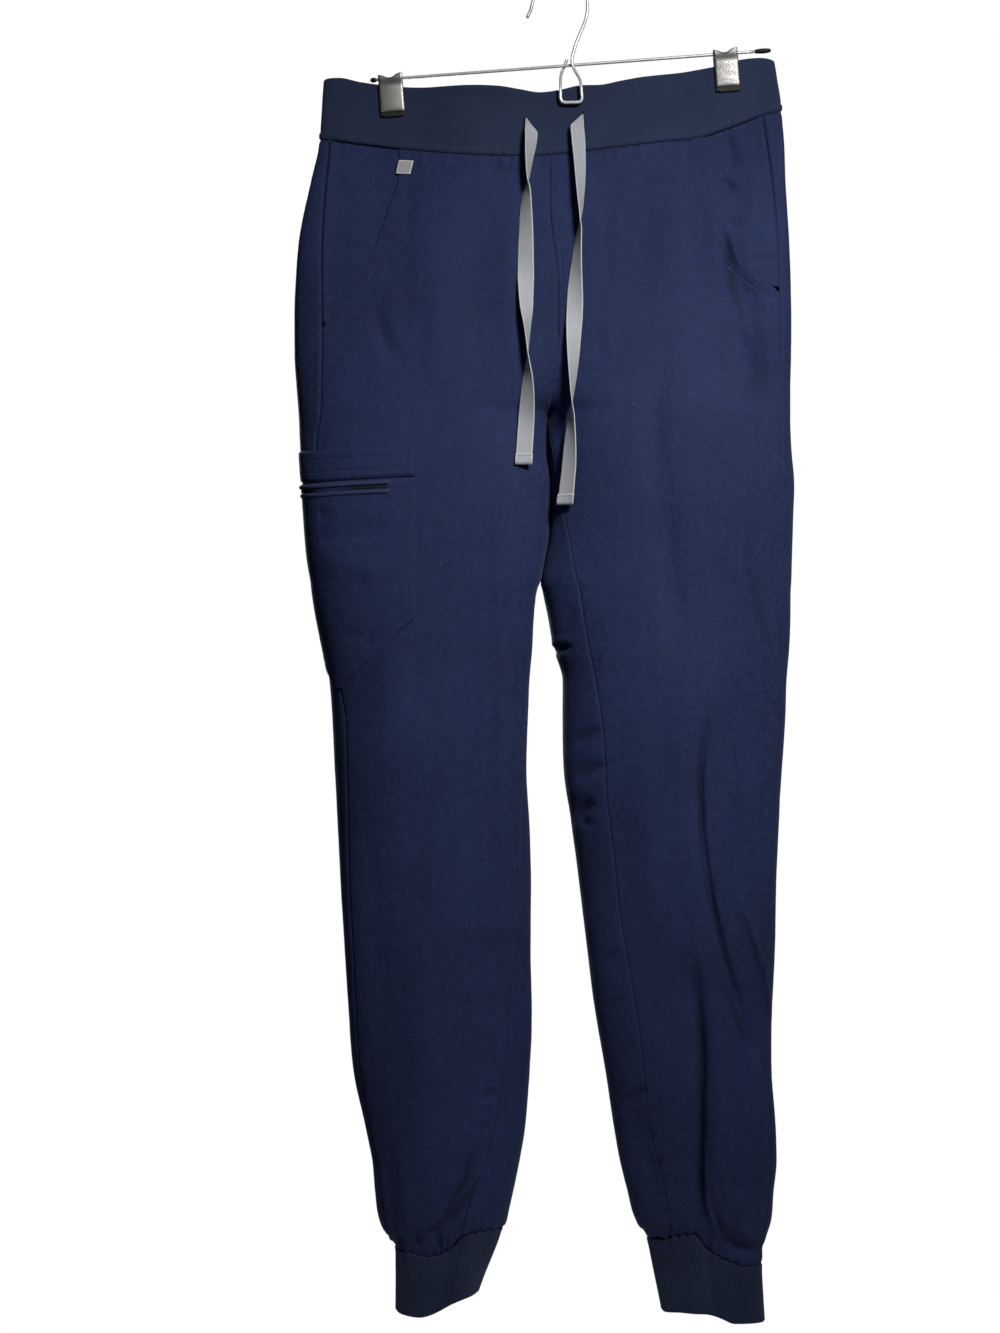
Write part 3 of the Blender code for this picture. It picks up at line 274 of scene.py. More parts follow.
# Folds, for each panel. A row runs along a line of four places. A negative height is a trough.
FOLD_COLUMNS = ("x1", "depth1", "x2", "depth2", "x3", "depth3", "x4", "depth4", "width", "height")
FOLDS = {
    ("right", "front"): (
        (83, 294, 72, 360, 78, 420, 91, 525, 13, -2.0),
        (112, 585, 107, 650, 118, 730, 139, 812, 11, -4.0),
        (137, 716, 149, 750, 158, 782, 163, 812, 9, 3.0),
        (104, 790, 110, 853, 109, 938, 110, 985, 11, -8.0),
        (127, 790, 136, 815, 144, 835, 150, 855, 9, -3.0),
        (113, 950, 118, 972, 124, 985, 134, 998, 8, -3.0),
        (130, 212, 146, 256, 155, 300, 162, 376, 10, -5.5),
        (148, 430, 152, 460, 156, 490, 160, 520, 10, -2.0),
        (52, 880, 60, 905, 66, 930, 74, 960, 9, -2.5),
    ),
    ("left", "front"): (
        (-58, 440, -58, 551, -55, 690, -56, 800, 16, -4.5),
        (-44, 560, -44, 620, -42, 700, -42, 780, 12, 2.0),
        (-76, 955, -88, 972, -100, 984, -117, 994, 9, -3.0),
        (-147, 262, -141, 280, -135, 295, -129, 310, 9, -1.5),
        (-110, 560, -118, 640, -122, 720, -124, 800, 24, -2.0),
        (-134, 130, -136, 170, -139, 215, -142, 262, 20, -2.0),
    ),
    ("left", "back"): (
        (-96, 150, -92, 230, -86, 310, -82, 400, 17, -3.5),
        (-48, 160, -46, 210, -47, 260, -50, 300, 12, -2.0),
        (-135, 420, -120, 500, -112, 600, -110, 690, 18, -4.0),
        (-150, 690, -120, 706, -90, 712, -60, 704, 11, -3.0),
        (-120, 850, -112, 900, -106, 950, -100, 990, 11, -5.0),
    ),
    ("right", "back"): (
        (84, 144, 76, 225, 70, 300, 66, 390, 15, -3.5),
        (140, 150, 138, 220, 134, 290, 130, 370, 13, -2.5),
        (128, 420, 112, 500, 100, 600, 96, 690, 18, -4.0),
        (150, 690, 120, 704, 90, 712, 55, 706, 11, -3.0),
        (128, 850, 124, 900, 122, 950, 120, 990, 11, -5.0),
    ),
}

# The right hip pocket gapes: the front's cut edge stands off its facing.
GAPE_DEPTH = 196.0
GAPE_REACH = 46.0
GAPE_WIDTH = 26.0
GAPE_HEIGHT = 6.5

# Cargo pocket, wrapped round the left side seam.
CARGO_EDGE_X = -112.5
CARGO_TOP = 371.0
CARGO_BAND_SEAM = 399.0
CARGO_CORNER = 507.0
CARGO_FOOT = 560.0
CARGO_PUFF = 2.0
ZIP_END_X = -132.0
LIP_TOP = 400.5
ZIP_TOP = 404.6
ZIP_BOTTOM = 406.9
LIP_BOTTOM = 411.0
LABEL_LEFT, LABEL_RIGHT = -126.5, -114.5


# Hanger: one wire makes the hook and the loop below the bar.
HOOK_WIRE = 2.6
HOOK_RADIUS = 21.5
HOOK_FREE_END = ((-26, 0, 33), (-23.4, 0, 27.5))

HOOK_SHANK = (
    (20.6, 0, 33), (17.6, 0, 41.5), (14, -0.6, 50), (11, -2, 59), (9.3, -3, 66), (9.6, -3.1, 71),
    (12.2, -4.2, 77), (15, -7.2, 83), (16.2, -10.6, 89), (16.5, -11.4, 95),
)

BAR_WIRE = 2.4
BAR_CENTRE = (4.0, 71.0)
BAR_FALL = -0.075
BAR_LEFT, BAR_RIGHT = -145.0, 153.7
TIP_WIDTH = 4.0
TIP_LEFT_LENGTH, TIP_RIGHT_LENGTH = 4.0, 12.0
CLIPS = (("left", -134.0), ("right", 130.5))
CLIP_WIDTH = 19.0
CLIP_LENGTH = 25.0
CLIP_SHEET = 0.9
PAD_TOP = 7.0
PAD_THICKNESS = 1.2
PAD_DROP = 3.0
PAD_LIP = 4.0
PINCHED_HALF = 1.95
PINCH_FLAT = 12.5
PINCH_FADE = 34.0
PINCH_FALL = 62.0

# Camera, floor and light. The floor and the lights' places are in metres.
VIEW_X, VIEW_DEPTH = -47.4, 545.5
VIEW_DISTANCE, VIEW_HEIGHT = 2000.0, 1053.0
WORLD_LIGHT = 0.02
KEY_LIGHT = 3.2
KEY_PLACE = (0.48, -1.10, 0.34)
FILL_LIGHT = 2.0
BACK_LIGHT = 38.0
FLOOR_LEVEL, FLOOR_RADIUS = -1.16, 0.42
COOL_LIGHT, WARM_LIGHT = (0.92, 0.95, 1.0), (1.0, 0.985, 0.965)

# Fine creases, in the same way. "lean" widens the side on the right of the line's direction.
# The narrow and deep ones are also shaded, as little light gets down there.
CREASE_COLUMNS = FOLD_COLUMNS + ("lean",)
CREASE_GAIN = 1.7
SHADED_HEIGHT, SHADED_WIDTH = -0.8, 6
CREASES = {
    ("right", "front"): (
        (83, 294, 74, 333, 72, 367, 77, 404, 8, -1.3, 1),
        (77, 404, 83, 451, 84, 485, 91, 525, 9, -1.1, 1),
        (111, 589, 107, 629, 108, 673, 110, 700, 2.4, -3.0, 1.3),
        (109, 690, 117, 734, 126, 770, 140, 812, 2.5, -3.4, 1.3),
        (137, 718, 148, 750, 159, 784, 165, 822, 2.6, 2.2, 0.7),
        (148, 472, 153, 493, 158, 513, 164, 532, 5, -1.2, 1),
        (104, 777, 110, 853, 109, 938, 110, 987, 3.6, -3.6, 1.2),
        (127, 793, 134, 813, 141, 830, 148, 851, 5, -1.6, 1.4),
        (113, 903, 115, 965, 123, 987, 136, 995, 3.5, 1.4, 0.6),
        (120, 971, 128, 992, 138, 999, 150, 1003, 3.5, -1.6, 1),
        (141, 984, 147, 990, 153, 995, 161, 999, 4, 1.3, 1),
        (12, 606, 18, 602, 24, 599, 31, 595, 2.6, -2.2, 2),
        (14, 636, 20, 629, 27, 625, 36, 623, 2.8, -2.4, 2),
        (12, 664, 16, 660, 20, 656, 26, 650, 4, -2.6, 2),
        (13, 663, 16, 666, 20, 668, 27, 668, 2.6, -1.5, 1),
        (32, 776, 36, 774, 41, 771, 46, 768, 2.6, -1.2, 1),
        (34, 812, 39, 810, 44, 807, 48, 803, 2.6, -0.8, 1),
        (53, 886, 58, 882, 62, 878, 67, 873, 2.8, -1.8, 1),
        (45, 904, 52, 894, 59, 886, 66, 881, 3.4, 1.3, 1),
        (65, 896, 68, 894, 71, 891, 74, 889, 2.2, -0.9, 1),
        (67, 915, 70, 913, 73, 912, 75, 909, 2.2, -0.9, 1),
        (67, 936, 72, 934, 76, 931, 80, 928, 2.4, -1.5, 1),
        (71, 950, 75, 949, 79, 946, 82, 944, 2.4, -0.8, 1),
        (71, 961, 75, 959, 80, 957, 84, 954, 2.4, -0.9, 1),
        (76, 973, 80, 972, 84, 969, 87, 967, 2.2, -0.9, 1),
        (4, 493, 8, 507, 5, 521, 0, 532, 4, -0.8, 1),
        (130, 205, 132, 226, 135, 248, 145, 280, 5, -2.4, 1),
        (145, 280, 152, 300, 156, 319, 160, 343, 6, -1.6, 1),
        (40, 153, 37, 181, 35, 212, 33, 248, 9, -0.7, 1),
        (85, 145, 88, 185, 88, 224, 85, 272, 12, 1.1, 1),
        (115, 540, 120, 572, 130, 619, 138, 667, 9, 1.2, 1),
        (63, 572, 66, 643, 73, 714, 82, 777, 14, 1.4, 1),
        (152, 825, 156, 864, 156, 912, 150, 959, 9, 1.4, 1),
        (-8, 534, -3, 533, 2, 530, 7, 530, 2.2, -3.4, 1),
        (-8, 528, -3, 527, 2, 525, 8, 526, 1.9, 1.5, 1),
        (100, 560, 113, 650, 115, 720, 119, 800, 26, 5.4, 0.8),
        (117, 790, 128, 850, 138, 905, 146, 965, 24, 4.0, 0.6),
        (114, 860, 120, 905, 121, 950, 124, 990, 15, 2.8, 0.8),
    ),
    ("left", "front"): (
        (-146, 264, -141, 280, -135, 294, -130, 307, 5, -0.9, 1),
        (-60, 935, -69, 947, -85, 965, -114, 991, 5, 2.2, 0.45),
        (-65, 951, -77, 965, -92, 980, -107, 994, 4, -1.6, 1),
        (-62, 882, -58, 879, -54, 877, -49, 875, 2.6, -1.2, 1),
        (-65, 912, -62, 907, -58, 902, -53, 899, 3.4, -1.2, 1),
        (-83, 928, -74, 920, -66, 912, -60, 905, 6, 0.9, 1),
        (-58, 446, -58, 525, -57, 619, -56, 714, 7, -0.9, 1.4),
        (-46, 461, -45, 540, -45, 619, -44, 706, 6, 1, 1),
        (-103, 177, -100, 232, -98, 288, -96, 351, 13, 0.9, 1),
        (-71, 169, -68, 224, -66, 280, -66, 335, 10, -0.8, 1),
        (-44, 153, -41, 216, -40, 280, -41, 351, 8, 0.8, 1),
        (-57, 146, -51, 153, -43, 156, -32, 156, 3, -0.9, 1),
        (-126, 461, -130, 525, -131, 588, -130, 651, 16, 1.2, 1),
        (-152, 651, -147, 706, -142, 770, -139, 841, 11, -1, 1),
        (-111, 730, -107, 793, -107, 856, -111, 920, 15, 1.4, 1),
        (-139, 904, -133, 939, -130, 967, -128, 992, 6, -1, 1),
        (-127, 988, -126, 992, -125, 997, -124, 1003, 3, -1.5, 1),
        (-113, 984, -111, 991, -111, 996, -111, 1003, 3, -1.5, 1),
        (-98, 984, -96, 991, -95, 996, -92, 1003, 3, -1.6, 1),
        (-70, 925, -74, 945, -84, 960, -92, 975, 3.6, -2.6, 2),
    ),
    ("left", "facing"): (
        (-188, 164, -183, 162, -178, 161, -173, 160, 3.4, -0.9, 1),
        (-191, 192, -188, 191, -184, 190, -180, 187, 3.4, -1, 1),
        (-171, 217, -166, 216, -161, 216, -156, 215, 2.6, -0.7, 1),
        (-198, 250, -193, 249, -188, 248, -183, 246, 3.2, -0.9, 1),
        (-164, 150, -158, 166, -155, 182, -156, 199, 7, 0.8, 1),
    ),
    ("right", "facing"): (
        (126, 162, 130, 164, 134, 168, 138, 174, 3, -1.6, 1),
        (128, 174, 131, 171, 135, 168, 140, 169, 3, -1.2, 1),
        (132, 199, 135, 198, 138, 196, 142, 194, 2.6, -1.8, 1),
        (132, 126, 133, 134, 134, 142, 138, 152, 5, -1.6, 1),
        (146, 231, 152, 228, 158, 226, 168, 226, 2.8, -0.9, 1),
        (148, 138, 152, 169, 152, 193, 148, 216, 7, 1.2, 1),
    ),
    ("left", "back"): (
        (-103, 216, -100, 280, -93, 351, -90, 430, 9, -1.4, 1.5),
        (-134, 177, -130, 240, -128, 303, -130, 374, 14, 1.3, 1),
        (-158, 683, -148, 690, -136, 695, -118, 695, 4, -1.5, 1.5),
        (-164, 714, -150, 717, -133, 716, -117, 709, 4, -1.2, 1),
        (-126, 762, -123, 817, -118, 872, -117, 928, 8, -1.6, 1.6),
        (-95, 777, -93, 841, -92, 896, -90, 951, 9, 1.4, 1),
        (-59, 572, -51, 577, -44, 578, -33, 576, 3, -1, 1),
        (-63, 600, -55, 604, -46, 607, -35, 604, 3, -1.1, 1),
        (-71, 157, -68, 189, -68, 220, -71, 256, 7, -1.2, 1),
    ),
    ("right", "back"): (
        (71, 224, 70, 288, 65, 359, 63, 430, 9, -1.4, 1.5),
        (111, 169, 114, 232, 115, 296, 114, 367, 14, 1.3, 1),
        (164, 683, 150, 692, 134, 697, 115, 697, 4, -1.5, 1.5),
        (163, 716, 148, 720, 133, 720, 117, 714, 4, -1.2, 1),
        (123, 762, 120, 817, 117, 872, 115, 928, 8, -1.6, 1.6),
        (87, 777, 92, 841, 98, 896, 103, 951, 9, 1.4, 1),
        (24, 604, 33, 608, 43, 610, 54, 607, 3, -1, 1),
        (25, 631, 35, 637, 46, 638, 57, 634, 3, -1.1, 1),
        (32, 153, 30, 189, 30, 224, 33, 256, 7, -1.2, 1),
    ),
    ("left", "cargo"): (
        (-197, 426, -191, 427, -185, 428, -177, 430, 5, -0.9, 1),
        (-188, 448, -170, 446, -152, 443, -131, 440, 6, -1, 1.5),
        (-169, 520, -161, 522, -153, 523, -145, 521, 5, -0.6, 1),
        (-182, 469, -164, 466, -145, 471, -130, 466, 9, 0.8, 1),
        (-123, 376, -119, 378, -116, 382, -114, 389, 2.6, -0.7, 1),
    ),
}

# Stitched lines on the front and back, as (face, places). Each is sewn at STITCH_PITCH.
STITCH_PITCH = 3.1
STITCH_LENGTH = 2.3
STITCH_WIDTH = 0.5
STITCH_HEIGHT = 0.32
STITCH_LINES = (
    ("front", ((-9.5, 146), (-9, 175), (-7, 206), (-5, 228), (-4, 260), (-3.5, 285), (-5.5, 310))),
    ("front", ((-4.5, 146), (-4, 175), (-2, 206), (0.5, 228), (1.5, 260), (1.5, 285), (-1, 308))),
    ("front", ((27.6, 146), (27, 160), (26.5, 178), (24, 192), (18, 204), (8, 212))),
    ("front", ((32, 146), (31.5, 160), (31, 180), (28, 196), (21, 209))),
    ("back", ((-10, 150), (-10, 190), (-9, 230), (-4, 260), (-3.5, 285), (-7, 315))),
    ("back", ((-5.6, 150), (-5.6, 190), (-4.5, 230), (0, 260), (0.5, 285), (-3, 315))),
)


def column(table, names, name):
    """One column of a table, by its name."""
    return np.array([row[names.index(name)] for row in table], float)


def smooth(places, values, at):
    """A curve through the values, with no overshoot between rows."""
    places, values = np.asarray(places, float), np.asarray(values, float)
    at = np.clip(at, places[0], places[-1])
    step = np.diff(places)
    rise = np.diff(values) / step
    slope = np.concatenate([rise[:1], (rise[1:] + rise[:-1]) / 2, rise[-1:]])
    flat = rise[1:] * rise[:-1] <= 0
    slope[1:-1][flat] = 0
    most = 2.5 * np.minimum(np.abs(np.append(rise, rise[-1])), np.abs(np.append(rise[0], rise)))
    slope = np.clip(slope, -most, most)
    i = np.clip(np.searchsorted(places, at, side="right") - 1, 0, len(step) - 1)
    u = (at - places[i]) / step[i]
    return (
        values[i] * (1 + 2 * u) * (1 - u) ** 2
        + slope[i] * step[i] * u * (1 - u) ** 2
        + values[i + 1] * u**2 * (3 - 2 * u)
        - slope[i + 1] * step[i] * u**2 * (1 - u)
    )


def along(line, at):
    """The second value of a line of pairs, where the first is at."""
    line = np.array(line, float)
    return smooth(line[:, 0], line[:, 1], at)


def outline(name, depth):
    """A leg's inner or outer edge at a depth."""
    depths = column(OUTLINE, OUTLINE_COLUMNS, "depth")
    return smooth(depths, column(OUTLINE, OUTLINE_COLUMNS, name), depth)


def sizes(name, depth):
    """A column of the depths' table at a depth."""
    depths = column(DEPTHS, DEPTH_COLUMNS, "depth")
    return smooth(depths, column(DEPTHS, DEPTH_COLUMNS, name), depth)


def bell(distance, width):
    """A bump of height 1 that dies away with distance."""
    return np.exp(-((distance / width) ** 2))


def run_along(places):
    """The way along a line to each of its places."""
    steps = np.linalg.norm(np.diff(places, axis=0), axis=1)
    return np.concatenate([[0], np.cumsum(steps)])


def between(table, row, column):
    """A table's values at fractional rows and columns."""
    i = np.clip(np.floor(row).astype(int), 0, table.shape[0] - 2)
    j = np.clip(np.floor(column).astype(int), 0, table.shape[1] - 2)
    u, v = (row - i)[..., None], (column - j)[..., None]
    near = table[i, j] * (1 - v) + table[i, j + 1] * v
    far = table[i + 1, j] * (1 - v) + table[i + 1, j + 1] * v
    return near * (1 - u) + far * u


def line_distance(x, depth, places):
    """The distance from each place to a line through the given ones, the same with a sign, above 0
    on the right of the line's direction, and the share along it."""
    nearest = np.full(np.shape(x), 1e9)
    signed, share = np.zeros(np.shape(x)), np.zeros(np.shape(x))
    spans = list(zip(places[:-1], places[1:]))
    for n, ((xa, da), (xb, db)) in enumerate(spans):
        run = (xb - xa) ** 2 + (db - da) ** 2
        u = np.clip(((x - xa) * (xb - xa) + (depth - da) * (db - da)) / run, 0, 1)
        away = np.hypot(x - xa - u * (xb - xa), depth - da - u * (db - da))
        side = np.sign((xb - xa) * (depth - da) - (db - da) * (x - xa))
        closer = away < nearest
        signed = np.where(closer, -side * away, signed)
        share = np.where(closer, (n + u) / len(spans), share)
        nearest = np.where(closer, away, nearest)
    return nearest, signed, share


def lines_of(table, names, half, face):
    """A panel's folds or creases: each row by its names, and its line of four places."""
    for row in table.get((half, face), ()):
        named = dict(zip(names, row))
        yield named, [(named[f"x{n}"], named[f"depth{n}"]) for n in (1, 2, 3, 4)]


def fold_height(half, face, x, depth):
    """How far a panel's folds lift each place."""
    total = np.zeros(np.shape(x))
    for fold, places in lines_of(FOLDS, FOLD_COLUMNS, half, face):
        away, _, share = line_distance(x, depth, places)
        fade = np.sin(np.pi * np.clip(share * 0.96 + 0.02, 0, 1)) ** 0.5
        total += fold["height"] * fade * bell(away, fold["width"])
    return total


def bar_depth(x):
    """The crossbar's depth at x."""
    return BAR_CENTRE[1] + BAR_FALL * (x - BAR_CENTRE[0])


def pinch(x, depth):
    """How far the clips close the band at a place, from 0 to 1."""
    total = np.zeros(np.shape(x))
    for _, clip_x in CLIPS:
        foot = bar_depth(clip_x) + CLIP_LENGTH + PAD_DROP + 2
        beside = np.clip(np.abs(x - clip_x) - PINCH_FLAT, 0, None)
        below = np.clip(depth - foot, 0, None)
        total = np.maximum(total, bell(beside, PINCH_FADE) * bell(below, PINCH_FALL))
    return total


class Section:
    """One half of the cloth at one depth, from its inner front edge round the side to the back."""

    def __init__(self, half, depth):
        inner = outline(f"{half}_in", depth)
        outer = outline(f"{half}_out", depth)
        sign = SIGNS[half]
        if depth < LEGS_PART_DEPTH:
            inner = inner + sign * LEG_TRIM * np.clip((depth - CROTCH_DEPTH) / 6, 0, 1)
        mid = sizes(f"{half}_mid", depth)
        blunt = sizes("blunt", depth)
        across = min(1.0, 2 / blunt * ROUNDING)
        spread = (1 - np.linspace(0, 1, SECTION_POINTS)) ** 2
        parts = []
        for face, side in (("front", -1), ("back", 1)):
            reach = sizes(f"{half}_{face}", depth)
            centre_share = sizes(f"centre_{face}", depth)
            power = 2 / blunt
            turn = math.pi - math.asin(min(1, centre_share) ** (1 / power))
            k = abs(math.cos(turn)) ** across
            middle = (inner + k * outer) / (1 + k)
            angle = turn * spread
            x = middle + (outer - middle) * np.sign(np.cos(angle)) * np.abs(np.cos(angle)) ** across
            y = mid + side * reach * np.abs(np.sin(angle)) ** power
            near_tip = np.clip(np.abs(y - mid) / (EDGE_SHARE * reach), 0, 1)
            push = fold_height(half, face, x, depth) * near_tip
            rim = pinch(x, depth)
            y = np.where(np.abs(y) > PINCHED_HALF, y + rim * (side * PINCHED_HALF - y), y)
            slope_x, slope_y = np.gradient(x), np.gradient(y)
            size = np.hypot(slope_x, slope_y) + 1e-9
            out_x, out_y = slope_y / size, -slope_x / size
            facing = np.sign(out_y * side + 1e-9)
            facing = np.where(np.abs(out_y) < SIDE_ON, np.sign(out_x * (x - middle)), facing)
            parts.append((x + push * facing * out_x, y + push * facing * out_y))
        front, back = parts
        self.x = np.concatenate([front[0], back[0][::-1][1:]])
        self.y = np.concatenate([front[1], back[1][::-1][1:]])
        self.front_count = len(front[0])
        steps = np.hypot(np.diff(self.x), np.diff(self.y))
        self.length = np.concatenate([[0], np.cumsum(steps)])
        self.half = half
        self.depth = depth
        self.side_seam = self.place_of(along(SIDE_SEAMS[half], depth))
        self.inseam = 0.0
        if depth > INSEAMS[half][0][0]:
            self.inseam = self.place_of(along(INSEAMS[half], depth))

    def place_of(self, x):
        """The length along the front at which the section passes x."""
        sign = SIGNS[self.half]
        front_x = self.x[: self.front_count] * sign
        front_x = np.maximum.accumulate(front_x)
        return float(np.interp(x * sign, front_x, self.length[: self.front_count]))

    def at(self, length):
        total = self.length[-1]
        if self.depth > CROTCH_DEPTH:
            length = np.mod(length, total)
        return np.interp(length, self.length, self.x), np.interp(length, self.length, self.y)


class Surface:
    """A panel's outer face: rows down the garment, each with even steps from inner to side seam."""

    def __init__(self, half, face):
        self.depths = np.arange(SECTION_TOP, SECTION_BOTTOM, SECTION_STEP)
        self.share = np.linspace(0, 1, SURFACE_COLUMNS)
        rows, self.widths = [], []
        for depth in self.depths:
            cut = SECTIONS[half, depth]
            total = cut.length[-1]
            start, end = cut.inseam + (0 if face == "front" else total), cut.side_seam
            x, y = cut.at(start + (end - start) * self.share)
            rows.append(np.stack([x, y], 1))
            self.widths.append(abs(end - start))
        self.rows = np.array(rows)
        self.widths = np.array(self.widths)

    def width(self, depth):
        return np.interp(depth, self.depths, self.widths)

    def at(self, share, depth):
        """Places on the face, as an array of (x, y, depth)."""
        share, depth = np.broadcast_arrays(np.asarray(share, float), np.asarray(depth, float))
        row = np.clip((depth - self.depths[0]) / SECTION_STEP, 0, len(self.depths) - 1.001)
        col = np.clip(share, 0, 1) * (SURFACE_COLUMNS - 1.001)
        return np.concatenate([between(self.rows, row, col), depth[..., None]], -1)

    def share_of(self, x, depth):
        """The share at which the face passes x."""
        row = self.at(self.share, np.full(SURFACE_COLUMNS, depth))[:, 0]
        order = row if row[-1] > row[0] else -row
        target = x if row[-1] > row[0] else -x
        return float(np.interp(target, np.maximum.accumulate(order), self.share))


def outward(grid, middle):
    """Unit vectors square to a grid of places, away from the given middle."""
    down = np.gradient(grid, axis=0)
    over = np.gradient(grid, axis=1)
    normal = np.cross(down, over)
    normal /= np.linalg.norm(normal, axis=-1, keepdims=True) + 1e-12
    away = (grid - middle)[..., :2]
    turned = np.sum(normal[..., :2] * away, -1).sum() < 0
    return -normal if turned else normal


def raised(grid, middle, height):
    """The grid with each place moved outward by its height."""
    return grid + outward(grid, middle) * height[..., None]


def rolled_edge(away, size, run):
    """How far a folded edge rounds back, at a distance from it."""
    return size * (1 - np.sqrt(1 - (1 - np.clip(away / run, 0, 1)) ** 2))


def leg_middle(half, depth):
    """A leg's axis at each depth."""
    inner, outer = outline(f"{half}_in", depth), outline(f"{half}_out", depth)
    return np.stack([(inner + outer) / 2, 0 * depth, depth], -1)


def panel_depths(half, x, levels):
    """Each place's depth: level rows, bent to the waistband's seam above and the cuff's below."""
    share_top = np.clip((HEAD_BEND - levels) / (HEAD_BEND - PANEL_HEAD), 0, 1)[:, None]
    share_bottom = np.clip((levels - FOOT_BEND) / (PANEL_FOOT - FOOT_BEND), 0, 1)[:, None]
    return (
        levels[:, None]
        + (along(BAND_SEAM, x) - PANEL_HEAD) * share_top
        + (along(CUFF_SEAMS[half], x) - PANEL_FOOT) * share_bottom
    )


def column_shares(count, crowd):
    """Shares across a panel, crowded towards both edges."""
    even = np.linspace(0, 1, count)
    return even - crowd * np.sin(2 * math.pi * even) / (2 * math.pi)


def gape(x, depth):
    """How far the right front stands off at its pocket opening."""
    edge = along(OPENINGS["right"], depth)
    return GAPE_HEIGHT * bell(x - edge, GAPE_WIDTH) * bell(depth - GAPE_DEPTH, GAPE_REACH)


def smooth_path(places, step):
    """Even places along a smooth curve through the given ones."""
    places = np.array(places, float)
    run = run_along(places)
    at = np.linspace(0, run[-1], int(run[-1] / step) + 1)
    slope = np.gradient(places, run, axis=0)
    i = np.clip(np.searchsorted(run, at, side="right") - 1, 0, len(run) - 2)
    h = (run[i + 1] - run[i])[:, None]
    u = ((at - run[i])[:, None]) / h
    return (
        places[i] * (1 + 2 * u) * (1 - u) ** 2
        + slope[i] * h * u * (1 - u) ** 2
        + places[i + 1] * u**2 * (3 - 2 * u)
        - slope[i + 1] * h * u**2 * (1 - u)
    )


def soft_noise(u, v, seed):
    """Smooth noise from -1 to 1, with about one bump for each unit."""
    lattice = np.random.default_rng(seed).uniform(-1, 1, (64, 64))
    i, j = np.floor(u).astype(int), np.floor(v).astype(int)
    a, b = u - i, v - j
    a, b = a * a * (3 - 2 * a), b * b * (3 - 2 * b)
    near = lattice[i % 64, j % 64] * (1 - a) + lattice[(i + 1) % 64, j % 64] * a
    far = lattice[i % 64, (j + 1) % 64] * (1 - a) + lattice[(i + 1) % 64, (j + 1) % 64] * a
    return near * (1 - b) + far * b


def ease(value):
    value = np.clip(value, 0, 1)
    return value * value * (3 - 2 * value)


def crease_height(half, face, x, depth):
    """How far a panel's creases lift each place."""
    total = np.zeros(np.shape(x))
    for crease, places in lines_of(CREASES, CREASE_COLUMNS, half, face):
        _, signed, share = line_distance(x, depth, places)
        width = np.where(signed > 0, crease["width"] * crease["lean"], crease["width"])
        fade = np.sin(np.pi * np.clip(share * 0.94 + 0.03, 0, 1)) ** 0.7
        total += CREASE_GAIN * crease["height"] * fade * bell(signed, width)
    return total


def crease_shade(half, face, x, depth):
    """How deep a place lies in the narrow creases, from 0 to 1: the mask for their painted shade.
    """
    deepest = np.zeros(np.shape(x))
    for crease, places in lines_of(CREASES, CREASE_COLUMNS, half, face):
        if crease["height"] > SHADED_HEIGHT or crease["width"] > SHADED_WIDTH:
            continue
        _, signed, share = line_distance(x, depth, places)
        fade = np.sin(np.pi * np.clip(share, 0.02, 0.98)) ** 0.7
        size = np.clip(-crease["height"] / 2.4, 0, 1)
        deepest = np.maximum(deepest, size * fade * bell(signed + 0.3, 0.55 * crease["width"]))
    return deepest


def cloth_waves(x, depth, seed):
    """The cloth's small unevenness: long and soft down the grain, with a little crumple."""
    return (
        0.55 * soft_noise(x / 26 + 7, depth / 110 + 3, seed)
        + 0.28 * soft_noise(x / 11 + 5, depth / 34 + 9, seed + 1)
        + 0.10 * soft_noise(x / 5, depth / 11, seed + 2)
        + 0.045 * soft_noise(x / 2.6, depth / 4.1, seed + 3)
    )


def gather_wave(x, skew, seed):
    """Uneven waves along a seam, from -1 to 1, leaning with their distance from it."""
    drift = 0.85 * soft_noise(x / 21 + 11, x * 0 + 2.5, seed)
    wave = np.sin(2 * math.pi * (x / GATHER_PITCH + drift + skew))
    return wave * (0.72 + 0.28 * soft_noise(x / 13, x * 0 + 0.5, seed + 1))


def band_gather(face, x, below):
    """The gather at a place that lies so far below the waistband's seam."""
    strength = along(GATHER_ZONES, x) if face == "front" else 0.9
    calm = 1 - 0.85 * bell(x - (LABEL_LEFT + LABEL_RIGHT) / 2, 9)
    run = np.where(below > 0, GATHER_RUN, STRIP_HEIGHT)
    return GATHER_HEIGHT * strength * calm * gather_wave(x, below * 0.035, 31) * bell(below, run)


def cuff_wave(half, face, x, away):
    seed = {"left": 51, "right": 61}[half] + (5 if face == "back" else 0)
    drift = 0.9 * soft_noise(x / 17 + 4, x * 0 + 1.5, seed)
    wave = np.sin(2 * math.pi * (x / CUFF_GATHER_PITCH + drift))
    run = np.where(away < 0, CUFF_GATHER_RUN, 7.0)
    return CUFF_GATHER_HEIGHT * wave * bell(away, run)


# ---------------------------------------------------------------- meshes


def link(item):
    bpy.context.scene.collection.objects.link(item)
    return item


def mesh_object(name, places, faces, material, facts=None):
    """A smooth mesh from places in millimetres, with a value at each point for each fact."""
    world = np.array(places, float).reshape(-1, 3) * MM
    world[:, 2] *= -1
    mesh = bpy.data.meshes.new(name)
    mesh.from_pydata(world.tolist(), [], [list(map(int, f)) for f in faces])
    mesh.materials.append(material)
    mesh.shade_smooth()
    for key, values in (facts or {}).items():
        layer = mesh.attributes.new(key, "FLOAT", "POINT")
        layer.data.foreach_set("value", np.asarray(values, np.float32).ravel())
    return link(bpy.data.objects.new(name, mesh))


